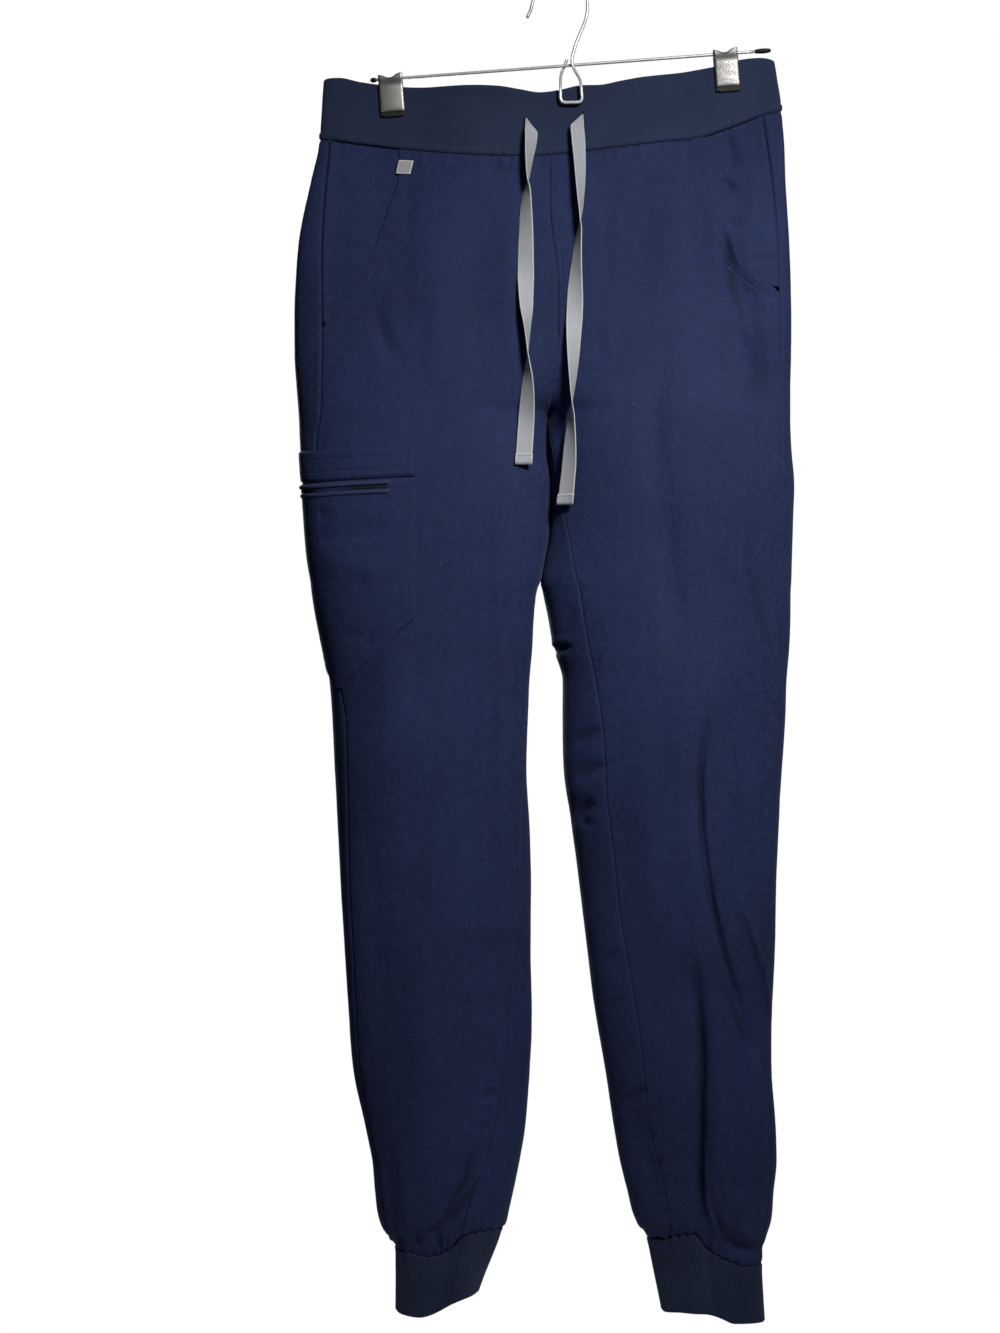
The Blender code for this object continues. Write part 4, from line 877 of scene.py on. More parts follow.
def grid_faces(rows, columns, closed=False):
    wide = columns if closed else columns - 1
    i, j = np.meshgrid(np.arange(rows - 1), np.arange(wide), indexing="ij")
    k = (j + 1) % columns
    a, b = i * columns, (i + 1) * columns
    return np.stack([a + j, b + j, b + k, a + k], -1).reshape(-1, 4)


def inwards(grid, middle):
    """Whether a grid's faces, in their own order, look at the garment's middle."""
    corner = grid[:-1, :-1].reshape(-1, 3)
    down = (grid[1:, :-1] - grid[:-1, :-1]).reshape(-1, 3)
    over = (grid[:-1, 1:] - grid[:-1, :-1]).reshape(-1, 3)
    normal = np.cross(down, over)
    centre = np.broadcast_to(middle, grid.shape)[:-1, :-1].reshape(-1, 3)
    return np.sum(normal[:, :2] * (corner - centre)[:, :2]) > 0


def add_shell(name, grid, material, wall, middle, closed=False, facts=None, offset=-1):
    faces = grid_faces(grid.shape[0], grid.shape[1], closed)
    if inwards(grid, middle):
        faces = faces[:, ::-1]
    item = mesh_object(name, grid, faces, material, facts)
    solid = item.modifiers.new("Wall", "SOLIDIFY")
    solid.thickness = wall * MM
    solid.offset = offset
    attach(item, "root")
    return item


def tree_of(grid):
    """A search tree over a grid, for laying stitches on it."""
    places = [Vector(p) for p in grid.reshape(-1, 3)]
    return BVHTree.FromPolygons(places, grid_faces(*grid.shape[:2]).tolist())


def lay_on(tree, face, line, step=0.8):
    """Places and outward directions where a line of (x, depth) falls on a cloth piece."""
    line = np.array(line, float)
    run = np.concatenate([[0], np.cumsum(np.hypot(*np.diff(line, axis=0).T))])
    at = np.linspace(0, run[-1], max(2, int(run[-1] / step)))
    side = -1 if face == "front" else 1
    found = []
    for t in at:
        x, depth = np.interp(t, run, line[:, 0]), np.interp(t, run, line[:, 1])
        place, normal, _, _ = tree.ray_cast(Vector((x, side * 200, depth)), Vector((0, -side, 0)))
        if place is None:
            continue
        if normal.y * side < 0:
            normal = -normal
        found.append((*place, *normal))
    return np.array(found)


def first_met(tree, x, depth):
    """The place on a surface that the viewer's straight look meets first, and its normal."""
    return tree.ray_cast(Vector((x, -200, depth)), Vector((0, 1, 0)))[:2]


def stitches_along(path, pitch=STITCH_PITCH, length=STITCH_LENGTH):
    """Short threads along a path of places with directions, as (start, end, out) rows."""
    if len(path) < 3:
        return []
    run = run_along(path[:, :3])
    rows = []
    for n in range(int(run[-1] / pitch)):
        start, end = n * pitch, n * pitch + length
        a = [np.interp(start, run, path[:, c]) for c in range(3)]
        b = [np.interp(end, run, path[:, c]) for c in range(3)]
        out = [np.interp((start + end) / 2, run, path[:, c]) for c in (3, 4, 5)]
        rows.append((a, b, out))
    return rows


def add_threads(name, rows, material, width=STITCH_WIDTH, height=STITCH_HEIGHT):
    """One mesh of short threads, each a small lozenge that dips into the cloth at both ends."""
    places, faces = [], []
    for a, b, out in rows:
        a, b, out = np.array(a), np.array(b), np.array(out)
        out = out / (np.linalg.norm(out) + 1e-9)
        run = (b - a) / (np.linalg.norm(b - a) + 1e-9)
        side = np.cross(run, out) * width / 2
        first = len(places)
        places += [a - out * 0.1, b - out * 0.1]
        for share in (0.28, 0.72):
            mid = a + (b - a) * share
            places += [mid + side, mid + out * height, mid - side, mid - out * 0.15]
        for n in range(4):
            m = (n + 1) % 4
            p, q = first + 2 + n, first + 2 + m
            faces += [(first, q, p), (p, q, q + 4, p + 4), (first + 1, p + 4, q + 4)]
    item = mesh_object(name, places, faces, material)
    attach(item, "root")
    return item


# ---------------------------------------------------------------- materials


def node(tree, kind, inputs=None, **settings):
    item = tree.nodes.new(kind)
    for key, value in settings.items():
        setattr(item, key, value)
    for key, value in (inputs or {}).items():
        if isinstance(value, bpy.types.NodeSocket):
            tree.links.new(value, item.inputs[key])
        else:
            item.inputs[key].default_value = value
    return item


def calc(tree, operation, first, second=0.0):
    return node(tree, "ShaderNodeMath", {0: first, 1: second}, operation=operation).outputs[0]


def times(tree, first, second):
    return calc(tree, "MULTIPLY", first, second)


def plus(tree, first, second):
    return calc(tree, "ADD", first, second)


def ramp(tree, value, low, high, new_low=0.0, new_high=1.0):
    found = node(
        tree, "ShaderNodeMapRange",
        {"Value": value, "From Min": low, "From Max": high, "To Min": new_low, "To Max": new_high},
    )
    return found.outputs["Result"]


def mix_colour(tree, share, first, second, blend="MIX"):
    item = node(tree, "ShaderNodeMix", data_type="RGBA", blend_type=blend)
    for number, value in ((0, share), (6, first), (7, second)):
        socket = item.inputs[number]
        if isinstance(value, bpy.types.NodeSocket):
            tree.links.new(value, socket)
        else:
            socket.default_value = value
    return item.outputs[2]


def noise(tree, place, scale, detail=2.0, rough=0.5):
    given = {"Vector": place, "Scale": scale, "Detail": detail, "Roughness": rough}
    return node(tree, "ShaderNodeTexNoise", given).outputs["Fac"]


def flecks(tree, place, scale, detail, rough, low=0.3, high=0.7):
    return ramp(tree, noise(tree, place, scale, detail, rough), low, high)


def fact(tree, name):
    return node(tree, "ShaderNodeAttribute", attribute_name=name).outputs["Fac"]


def start_material(
    name, roughness, metallic=0.0, specular=0.5, sheen=0.0, sheen_rough=0.5, sheen_tint=None
):
    material = bpy.data.materials.new(name)
    material.use_nodes = True
    tree = material.node_tree
    shader = tree.nodes["Principled BSDF"]
    shader.inputs["Metallic"].default_value = metallic
    shader.inputs["Roughness"].default_value = roughness
    shader.inputs["Specular IOR Level"].default_value = specular
    shader.inputs["Sheen Weight"].default_value = sheen
    shader.inputs["Sheen Roughness"].default_value = sheen_rough
    if sheen_tint:
        shader.inputs["Sheen Tint"].default_value = sheen_tint
    place = node(tree, "ShaderNodeTexCoord").outputs["Object"]
    return material, tree, shader, place


def finish(shader, colour, roughness=None):
    links = shader.id_data.links
    links.new(colour, shader.inputs["Base Color"])
    if roughness is not None:
        links.new(roughness, shader.inputs["Roughness"])


def bump(tree, shader, height, distance, strength=1.0, before=None):
    given = {"Height": height, "Distance": distance, "Strength": strength}
    item = node(tree, "ShaderNodeBump", given)
    if before is not None:
        tree.links.new(before, item.inputs["Normal"])
    tree.links.new(item.outputs["Normal"], shader.inputs["Normal"])
    return item.outputs["Normal"]


def twill(tree, place, pitch):
    """Fine diagonal ribs crossed by the warp, as a height from 0 to 1."""
    axes = node(tree, "ShaderNodeSeparateXYZ", {0: place})
    x, y, z = (axes.outputs[n] for n in range(3))
    around = plus(tree, x, times(tree, y, 0.9))
    turn = 2 * math.pi / pitch
    slant = times(tree, plus(tree, around, times(tree, z, 1.4)), turn)
    rib = calc(tree, "MULTIPLY_ADD", calc(tree, "SINE", slant), 0.5)
    warp = calc(tree, "SINE", times(tree, around, turn * 1.7))
    return plus(tree, rib, times(tree, warp, 0.25))


def woven_material(name, light, dark, seams=True):
    """Navy twill: mottled yarn, a soft nap that catches the light, pressed seams with painted shade
    along them, and painted shade in the narrow creases.
    """
    material, tree, shader, place = start_material(
        name, 0.82, specular=0.22, sheen=WOVEN_SHEEN, sheen_rough=0.42, sheen_tint=SHEEN_TINT
    )
    broad = flecks(tree, place, 9.0, 3.0, 0.5)
    speck = flecks(tree, place, 330.0, 2.0, 0.75, 0.36, 0.64)
    slub = node(tree, "ShaderNodeMapping", {"Vector": place, "Scale": (1.0, 1.0, 0.12)}).outputs[0]
    streak = flecks(tree, slub, 260.0, 3.0, 0.6, 0.32, 0.7)
    share = plus(tree, times(tree, broad, 0.35), times(tree, speck, 0.55))
    share = plus(tree, share, times(tree, streak, 0.15))
    colour = mix_colour(tree, share, dark, light)
    lint = flecks(tree, place, 620.0, 0.0, 0.5, 0.855, 0.88)
    colour = mix_colour(tree, times(tree, lint, 0.22), colour, LINT)
    rough = ramp(tree, speck, 0.0, 1.0, 0.76, 0.9)
    # Painted shade: the cloth is darker near each seam and in the narrow creases, where little
    # light gets in.
    if seams:
        seam_shade = ramp(tree, fact(tree, "seam"), 0.0, 1.4, 1.0, 0.0)
        colour = mix_colour(tree, times(tree, seam_shade, 0.35), colour, PAINTED_SHADE)
        colour = mix_colour(tree, times(tree, fact(tree, "fold"), 0.9), colour, PAINTED_SHADE)
    finish(shader, colour, rough)
    height = plus(tree, twill(tree, place, 0.00062), times(tree, speck, 1.2))
    done = bump(tree, shader, height, 0.00006, 0.55)
    if seams:
        away = calc(tree, "DIVIDE", fact(tree, "stitch"), 0.75)
        groove = calc(tree, "EXPONENT", times(tree, times(tree, away, away), -1.0))
        bump(tree, shader, times(tree, groove, -1.0), 0.00035, 0.9, done)
    return material


def knit_material(name, light, dark, rib_pitch, rib_depth, edge_rib=0.35):
    """Rib knit: wales that run down the piece, crossed by fine courses, with painted shade between
    the wales.
    """
    material, tree, shader, place = start_material(
        name, 0.9, specular=0.15, sheen=KNIT_SHEEN, sheen_rough=0.5, sheen_tint=SHEEN_TINT
    )
    across, down = fact(tree, "across"), fact(tree, "down")
    wale = calc(tree, "SINE", times(tree, across, 2 * math.pi / rib_pitch))
    course = calc(tree, "SINE", times(tree, down, 2 * math.pi / 0.9))
    broad = flecks(tree, place, 24.0, 3.0, 0.5)
    speck = flecks(tree, place, 520.0, 2.0, 0.7)
    share = plus(tree, times(tree, broad, 0.4), times(tree, speck, 0.4))
    # Painted shade: the colour darkens in the grooves between the wales.
    share = plus(tree, share, times(tree, wale, edge_rib * 0.35))
    colour = mix_colour(tree, share, dark, light)
    finish(shader, colour, ramp(tree, speck, 0.0, 1.0, 0.84, 0.96))
    height = plus(tree, wale, times(tree, course, 0.3))
    height = plus(tree, height, times(tree, speck, 0.8))
    bump(tree, shader, height, rib_depth, 0.7)
    return material


def tape_material(name, light, dark, edge):
    """Grey twill tape: a slanting weave with painted shade between its ribs, paler along both
    edges.
    """
    material, tree, shader, place = start_material(name, 0.8, specular=0.3, sheen=0.15)
    across, down = fact(tree, "across"), fact(tree, "down")
    slant = times(tree, plus(tree, across, down), 2 * math.pi / 1.1)
    rib = ramp(tree, calc(tree, "SINE", slant), -1.0, 1.0)
    speck = flecks(tree, place, 600.0, 2.0, 0.5)
    # Painted shade: darker in the grooves between the ribs.
    share = plus(tree, times(tree, rib, 0.6), times(tree, speck, 0.4))
    colour = mix_colour(tree, share, dark, light)
    rim = ramp(tree, calc(tree, "ABSOLUTE", across), TAPE_WIDTH / 2 - 1.1, TAPE_WIDTH / 2 - 0.7)
    colour = mix_colour(tree, times(tree, rim, 0.6), colour, edge)
    finish(shader, colour, ramp(tree, rib, 0.0, 1.0, 0.86, 0.74))
    bump(tree, shader, plus(tree, rib, times(tree, rim, 1.0)), 0.00012, 0.8)
    return material


def plain_weave_material(name, light, dark, scale, roughness):
    material, tree, shader, place = start_material(name, roughness, specular=0.3)
    speck = ramp(tree, noise(tree, place, scale, 3.0, 0.7), 0.3, 0.7)
    finish(shader, mix_colour(tree, speck, dark, light))
    bump(tree, shader, speck, 0.0001, 0.6)
    return material


def label_material(name, light, dark, edge):
    """A woven label: fine ribs across it with painted shade between them, and a paler border, with
    nothing on it.
    """
    material, tree, shader, place = start_material(name, 0.6, specular=0.4, sheen=0.1)
    across, down = fact(tree, "across"), fact(tree, "down")
    rib = ramp(tree, calc(tree, "SINE", times(tree, down, 2 * math.pi / 0.45)), -1, 1)
    speck = noise(tree, place, 900.0, 2.0)
    # Painted shade: darker in the grooves between the ribs.
    colour = mix_colour(tree, times(tree, plus(tree, rib, speck), 0.5), dark, light)
    far = calc(tree, "MAXIMUM", calc(tree, "ABSOLUTE", across), calc(tree, "ABSOLUTE", down))
    colour = mix_colour(tree, ramp(tree, far, 0.84, 0.9), colour, edge)
    finish(shader, colour)
    bump(tree, shader, rib, 0.00005, 0.8)
    return material


def steel_material(name, colour, roughness, grain, speckle, metallic=1.0):
    """Bare steel: fine brushing, with darker specks."""
    material, tree, shader, place = start_material(name, roughness, metallic=metallic)
    drawn = node(tree, "ShaderNodeMapping", {"Vector": place, "Scale": grain}).outputs[0]
    brush = flecks(tree, drawn, 300.0, 4.0, 0.7)
    spot = flecks(tree, place, 900.0, 2.0, 0.8, 0.35, 0.65)
    brushed = times(tree, brush, 1 - speckle)
    share = plus(tree, brushed, times(tree, spot, speckle))
    dark = tuple(c * 0.45 for c in colour[:3]) + (1,)
    rough = ramp(tree, share, 0, 1, roughness + 0.12, roughness - 0.08)
    finish(shader, mix_colour(tree, share, dark, colour), rough)
    bump(tree, shader, share, 0.00004, 0.5)
    return material


def vinyl_material(name):
    material, tree, shader, place = start_material(name, 0.6, specular=0.25)
    speck = flecks(tree, place, 700.0, 3.0, 0.5)
    colour = mix_colour(tree, speck, (0.003, 0.003, 0.004, 1), (0.010, 0.010, 0.011, 1))
    finish(shader, colour, ramp(tree, speck, 0, 1, 0.5, 0.68))
    bump(tree, shader, speck, 0.00008, 0.5)
    return material


WOVEN_SHEEN = 0.10
KNIT_SHEEN = 0.10
SHEEN_TINT = (0.45, 0.55, 0.85, 1)
LINT = (0.25, 0.27, 0.33, 1)
# The colour of the painted shade at the seams and in the narrow creases.
PAINTED_SHADE = (0.004, 0.007, 0.020, 1)
WOVEN = woven_material("navy_twill", (0.0172, 0.0290, 0.0960, 1), (0.0052, 0.0104, 0.0400, 1))
WOVEN_LIP = woven_material(
    "navy_twill_lip", (0.030, 0.042, 0.110, 1), (0.018, 0.026, 0.072, 1), False
)
BAND = knit_material(
    "navy_band_knit", (0.0235, 0.0345, 0.0770, 1), (0.0140, 0.0215, 0.0500, 1), 1.25, 0.00010
)
CUFF = knit_material(
    "navy_cuff_rib", (0.0260, 0.0395, 0.0840, 1), (0.0110, 0.0180, 0.0420, 1), 1.7, 0.00026
)
THREAD = plain_weave_material(
    "navy_thread", (0.046, 0.062, 0.155, 1), (0.022, 0.032, 0.085, 1), 900.0, 0.6
)
ZIP = plain_weave_material(
    "zip_tape", (0.006, 0.007, 0.012, 1), (0.002, 0.002, 0.004, 1), 700.0, 0.7
)
ZIP_TEETH = plain_weave_material(
    "zip_coil", (0.010, 0.012, 0.020, 1), (0.004, 0.005, 0.009, 1), 900.0, 0.35
)
TAPE = tape_material(
    "grey_twill_tape", (0.40, 0.415, 0.445, 1), (0.27, 0.285, 0.315, 1), (0.55, 0.56, 0.58, 1)
)
TAPE_THREAD = plain_weave_material(
    "grey_thread", (0.42, 0.43, 0.45, 1), (0.28, 0.29, 0.31, 1), 900.0, 0.7
)
FOLD_THREAD = plain_weave_material(
    "dark_grey_thread", (0.10, 0.105, 0.12, 1), (0.05, 0.055, 0.065, 1), 900.0, 0.7
)
LABEL = label_material(
    "label_weave", (0.34, 0.33, 0.35, 1), (0.25, 0.24, 0.26, 1), (0.62, 0.61, 0.62, 1)
)
WIRE = steel_material("bright_wire", (0.90, 0.89, 0.88, 1), 0.30, (1, 1, 0.2), 0.2, 0.45)
# One steel in two copies: the left clip's is lighter, and the right clip's is painted darker as
# shade.
CLIP_STEEL_LIT = steel_material(
    "clip_steel_left_lit", (0.34, 0.335, 0.325, 1), 0.42, (0.12, 1, 1), 0.65
)
CLIP_STEEL_SHADED = steel_material(
    "clip_steel_right_shaded", (0.25, 0.245, 0.238, 1), 0.42, (0.12, 1, 1), 0.60
)
VINYL = vinyl_material("black_vinyl")
# Painted shadow for the inside of the buttonholes.
BUTTONHOLE_SHADOW = plain_weave_material(
    "slit_shadow", (0.004, 0.006, 0.014, 1), (0.0015, 0.002, 0.005, 1), 800.0, 0.95
)


# ---------------------------------------------------------------- cloth


SECTIONS = {
    (half, depth): Section(half, depth)
    for half in HALVES
    for depth in np.arange(SECTION_TOP, SECTION_BOTTOM, SECTION_STEP)
}
SURFACES = {
    (half, face): Surface(half, face) for half in HALVES for face in ("front", "back")
}
CARGO_LEVELS = np.arange(CARGO_TOP - 8, CARGO_CORNER + 1, 4.0)
CARGO_WIDTHS = np.array([
    (1 - surface.share_of(CARGO_EDGE_X, level)) * surface.width(level)
    for surface in (SURFACES["left", "front"],)
    for level in CARGO_LEVELS
])


def panel_grid(half, face, levels, shares):
    """A grid over a panel whose outer edge may be a pocket's opening, and that edge's share."""
    surface = SURFACES[half, face]
    opening = OPENINGS[half]
    depth = np.repeat(levels[:, None], len(shares), 1)
    edges = np.ones(len(levels))
    for _ in range(3):
        share = np.repeat(shares[None, :], len(levels), 0)
        if face == "front":
            for i in range(len(levels)):
                foot = depth[i, -1]
                edges[i] = 1.0
                if foot < opening[-1][0]:
                    edges[i] = surface.share_of(along(opening, foot), foot)
            share = share * edges[:, None]
        x = surface.at(share, depth)[..., 0]
        depth = panel_depths(half, x, levels)
    return surface.at(share, depth), share, edges


def stitch_distance(face, x, depth):
    """The distance to the nearest row of stitches."""
    found = np.full(x.shape, STITCH_REACH)
    for where, places in STITCH_LINES + OPENING_STITCHES:
        if where == face:
            found = np.minimum(found, np.abs(line_distance(x, depth, places)[1]))
    return found


def shifted(line, by):
    """A line moved sideways, to the right of its direction."""
    line = np.array(line, float)
    run = np.gradient(line, axis=0)
    run /= np.linalg.norm(run, axis=1, keepdims=True)
    return line + by * np.stack([-run[:, 1], run[:, 0]], 1)


def opening_line(half, away):
    """A line on the front panel beside its pocket's opening."""
    moved = shifted([(x, depth) for depth, x in OPENINGS[half]], SIGNS[half] * away)
    seam = along(BAND_SEAM, moved[0][0]) + 1
    return [tuple(p) for p in moved if p[1] > seam]


OPENING_STITCHES = tuple(
    ("front", tuple(opening_line(half, away))) for half in HALVES for away in OPENING_STITCH_ROWS
)


def cargo_cover(outer, depth):
    """1 under the cargo pocket and 0 well clear of it."""
    wide = np.interp(depth, CARGO_LEVELS, CARGO_WIDTHS)
    across = np.clip(outer / wide, 0, 1)
    inside = np.minimum(np.minimum(wide - outer, depth - CARGO_TOP), cargo_foot(across) - depth)
    return ease(inside / 5 + 1)


def faces_front(grid, middle):
    """1 where a place looks at the viewer, 0 where it looks away."""
    return ease(0.5 - 1.2 * outward(grid, middle)[..., 1])


def panel_relief(half, face, grid, share, edges, middle):
    """How far each place stands off the solid's form, and its distance from the nearest seam."""
    surface = SURFACES[half, face]
    x, depth = grid[..., 0], grid[..., 2]
    width = surface.width(depth)
    inner = share * width
    outer = (edges[:, None] - share) * width
    sewn = np.where(edges[:, None] < 1, 1e3, outer)
    above = depth - along(BAND_SEAM, x)
    below = along(CUFF_SEAMS[half], x) - depth
    seam = np.minimum(np.minimum(inner, sewn), np.minimum(above, below))
    seed = SEEDS[half]
    front = faces_front(grid, middle)
    wave = front * (crease_height(half, "front", x, depth) + cloth_waves(x, depth, seed))
    wave += (1 - front) * (crease_height(half, "back", x, depth) + cloth_waves(x, depth, seed + 50))
    calm = ease(above / 4) * ease(below / 4)
    if face == "front":
        calm = calm * np.where(edges[:, None] < 1, ease(outer / EDGE_CALM), 1.0)
    height = wave * calm
    for away, number in ((inner, 0), (sewn, 1)):
        drift = 0.8 * soft_noise(depth / 23, depth * 0 + number, seed + 7)
        pucker = np.sin(2 * math.pi * (depth / PUCKER_PITCH + drift))
        size = 0.5 + 0.5 * soft_noise(depth / 41, depth * 0 + number + 2, seed + 8)
        height += PUCKER_HEIGHT * size * pucker * bell(away - 2.5, PUCKER_RUN) * ease(away / 2)
    height += band_gather(face, x, above) + cuff_wave(half, face, x, -below)
    if half == "left":
        height = height * (1 - cargo_cover(np.abs(outer), depth))
    inseam_dip = (1 - ease(inner / SEAM_RUN)) * (1 - legs_touch(depth))
    other_dip = 1 - ease(np.minimum(sewn, np.minimum(above, below)) / SEAM_RUN)
    height -= np.maximum(INSEAM_DIP * inseam_dip, SEAM_DIP * other_dip)
    rolled = (edges[:, None] < 1) * (1 - ease(outer / 1.6))
    return height - 0.45 * rolled, np.clip(seam, 0, SEAM_REACH)


def legs_touch(depth):
    """1 where the legs hang against each other, below the crotch, and 0 elsewhere."""
    return ease((depth - LEGS_MEET_DEPTH) / 14) * ease((LEGS_PART_DEPTH + 5 - depth) / 10)


def add_panels():
    """The four leg panels."""
    shells = {}
    for half in HALVES:
        for face in ("front", "back"):
            rows, columns = PANEL_SIZES[face]
            levels = np.linspace(PANEL_HEAD, PANEL_FOOT, rows)
            shares = column_shares(columns, PANEL_CROWD)
            grid, share, edges = panel_grid(half, face, levels, shares)
            middle = leg_middle(half, grid[..., 2])
            if (half, face) == ("right", "front"):
                grid[..., 1] -= gape(grid[..., 0], grid[..., 2])
            height, seam = panel_relief(half, face, grid, share, edges, middle)
            grid = raised(grid, middle, height)
            inner = share * SURFACES[half, face].width(grid[..., 2])
            towards = -SIGNS[half]
            grid[..., 0] += towards * LEGS_PRESS * legs_touch(grid[..., 2]) * (1 - ease(inner / 9))
            facts = {
                "seam": seam,
                "stitch": stitch_distance(face, grid[..., 0], grid[..., 2]),
                # Where the narrow creases get painted shade.
                "fold": crease_shade(half, "front", grid[..., 0], grid[..., 2])
                * faces_front(grid, middle),
            }
            item = add_shell(f"cloth_{face}_{half}", grid, WOVEN, CLOTH, middle, facts=facts)
            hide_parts(f"{face}_{half}")
            shells[half, face] = (item, grid)
    return shells


def add_facings():
    """The pocket's facing laps under the front's edge and runs to the side seam."""
    made = []
    for half, opening in OPENINGS.items():
        surface = SURFACES[half, "front"]
        foot = opening[-1][0] - 4
        rows, columns = FACING_ROWS, FACING_COLUMNS
        grid = np.zeros((rows, columns, 3))
        away = np.zeros((rows, columns))
        x0 = opening[1][1]
        for i in range(rows):
            for j in range(columns):
                x = x0 if j == 0 else grid[i, j - 1, 0]
                for _ in range(3):
                    top = along(BAND_SEAM, x)
                    depth = top + (foot - top) * i / (rows - 1)
                    edge = surface.share_of(along(opening, depth), depth)
                    start = edge - FACING_LAP / surface.width(depth)
                    share = start + (1 - start) * j / (columns - 1)
                    x = surface.at(share, depth)[0]
                grid[i, j] = surface.at(share, depth)
                away[i, j] = (1 - share) * surface.width(depth)
        middle = leg_middle(half, grid[..., 2])
        x, depth = grid[..., 0], grid[..., 2]
        above = depth - along(BAND_SEAM, x)
        calm = ease(away / 5) * ease(above / 4)
        wave = crease_height(half, "facing", x, depth) + cloth_waves(x, depth, 300 + len(made))
        sunk = 1.5 * ease(away / 10)
        dip = SEAM_DIP * (1 - ease(np.minimum(away, above) / SEAM_RUN))
        height = wave * calm + band_gather("front", x, above) * ease(away / 8) - sunk - dip
        grid = raised(grid, middle, height)
        seam = np.clip(np.minimum(away, above), 0, SEAM_REACH)
        facts = {"seam": seam, "stitch": np.full(x.shape, STITCH_REACH)}
        item = add_shell(f"cloth_facing_{half}", grid, WOVEN, CLOTH, middle, facts=facts)
        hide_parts(f"pocket_facing_{half}")
        made.append(item)
    return made


def ring_columns(half, count_front, count_back):
    """Even places round one half, from its inner front edge to its inner back edge."""
    columns = [(half, "front", share) for share in np.linspace(0, 1, count_front)]
    columns += [(half, "back", share) for share in np.linspace(1, 0, count_back)[1:]]
    return columns


def strip_ticks(x, above):
    """Short slanting tucks that the seam pulls into the waistband's strip."""
    place = (x - 0.32 * above) / TICK_PITCH + 0.5 * soft_noise(x / 15, x * 0 + 4, 71)
    from_tick = (np.mod(place, 1) - 0.5) * TICK_PITCH
    size = 0.6 + 0.4 * soft_noise(np.floor(place), x * 0 + 8, 72)
    tall = ease(above / 1.2) * (1 - ease((above - 4.2) / 2.6))
    return TICK_DEPTH * along(TICK_ZONES, x) * size * bell(from_tick, 0.8) * tall


def add_waistband():
    """One ring with a rolled top edge and a raised strip over its seam."""
    left = ring_columns("left", *BAND_COLUMNS)
    right = ring_columns("right", *BAND_COLUMNS)
    ordered = left[::-1] + right[1:-1]
    rows, columns = BAND_ROWS, len(ordered)
    even = np.linspace(0, 1, rows)
    down = even - 0.16 * np.sin(2 * math.pi * even) / (2 * math.pi)
    grid = np.zeros((rows, columns, 3))
    tops = np.zeros(columns)
    for j, (half, face, share) in enumerate(ordered):
        surface = SURFACES[half, face]
        x = surface.at(share, BAND_MIDDLE)[0] + np.zeros(rows)
        for _ in range(3):
            top = along(BAND_TOP, x)
            if face == "back":
                top = top - BACK_BAND_RISE * bell(x + 45, 60)
            depth = top + (along(BAND_SEAM, x) - top) * down
            x = surface.at(share, depth)[..., 0]
        grid[:, j] = surface.at(share, depth)
    x, depth = grid[..., 0], grid[..., 2]
    middle = np.array([-8.0, 0, BAND_MIDDLE])
    top = depth[0]
    under = depth - top
    above = depth[-1] - depth
    face_of = np.array([face == "front" for _, face, _ in ordered])
    across = run_along(grid[rows // 2])
    roll = rolled_edge(under, 1.1, 1.5)
    strip = STRIP_RISE * ease((STRIP_HEIGHT - above) / 1.1)
    line = 0.22 * bell(above - STRIP_HEIGHT - 0.4, 0.8)
    dip = 1.5 * (1 - ease(above / 1.7))
    away = pinch(x, depth)
    gather = np.where(face_of, band_gather("front", x, -above), band_gather("back", x, -above))
    strong = 1.25 * ease((STRIP_HEIGHT + 2 - above) / 3)
    wave = 0.5 * soft_noise(x / 30, depth / 26, 401) + 0.16 * soft_noise(x / 8, depth / 14, 402)
    dent = 1.1 * bell(x + 75, 34) * bell(under - 10, 5) * face_of
    ticks = strip_ticks(x, above) * face_of
    height = strip - roll - line - dip + gather * strong - ticks
    height = height + (wave - dent) * (1 - away) * ease(under / 3) * ease(above / 5)
    grid = raised(grid, middle, height)
    facts = {"across": np.broadcast_to(across, x.shape), "down": under}
    item = add_shell("cloth_waistband", grid, BAND, BAND_CLOTH, middle, closed=True, facts=facts)
    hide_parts("waistband")
    return item, grid


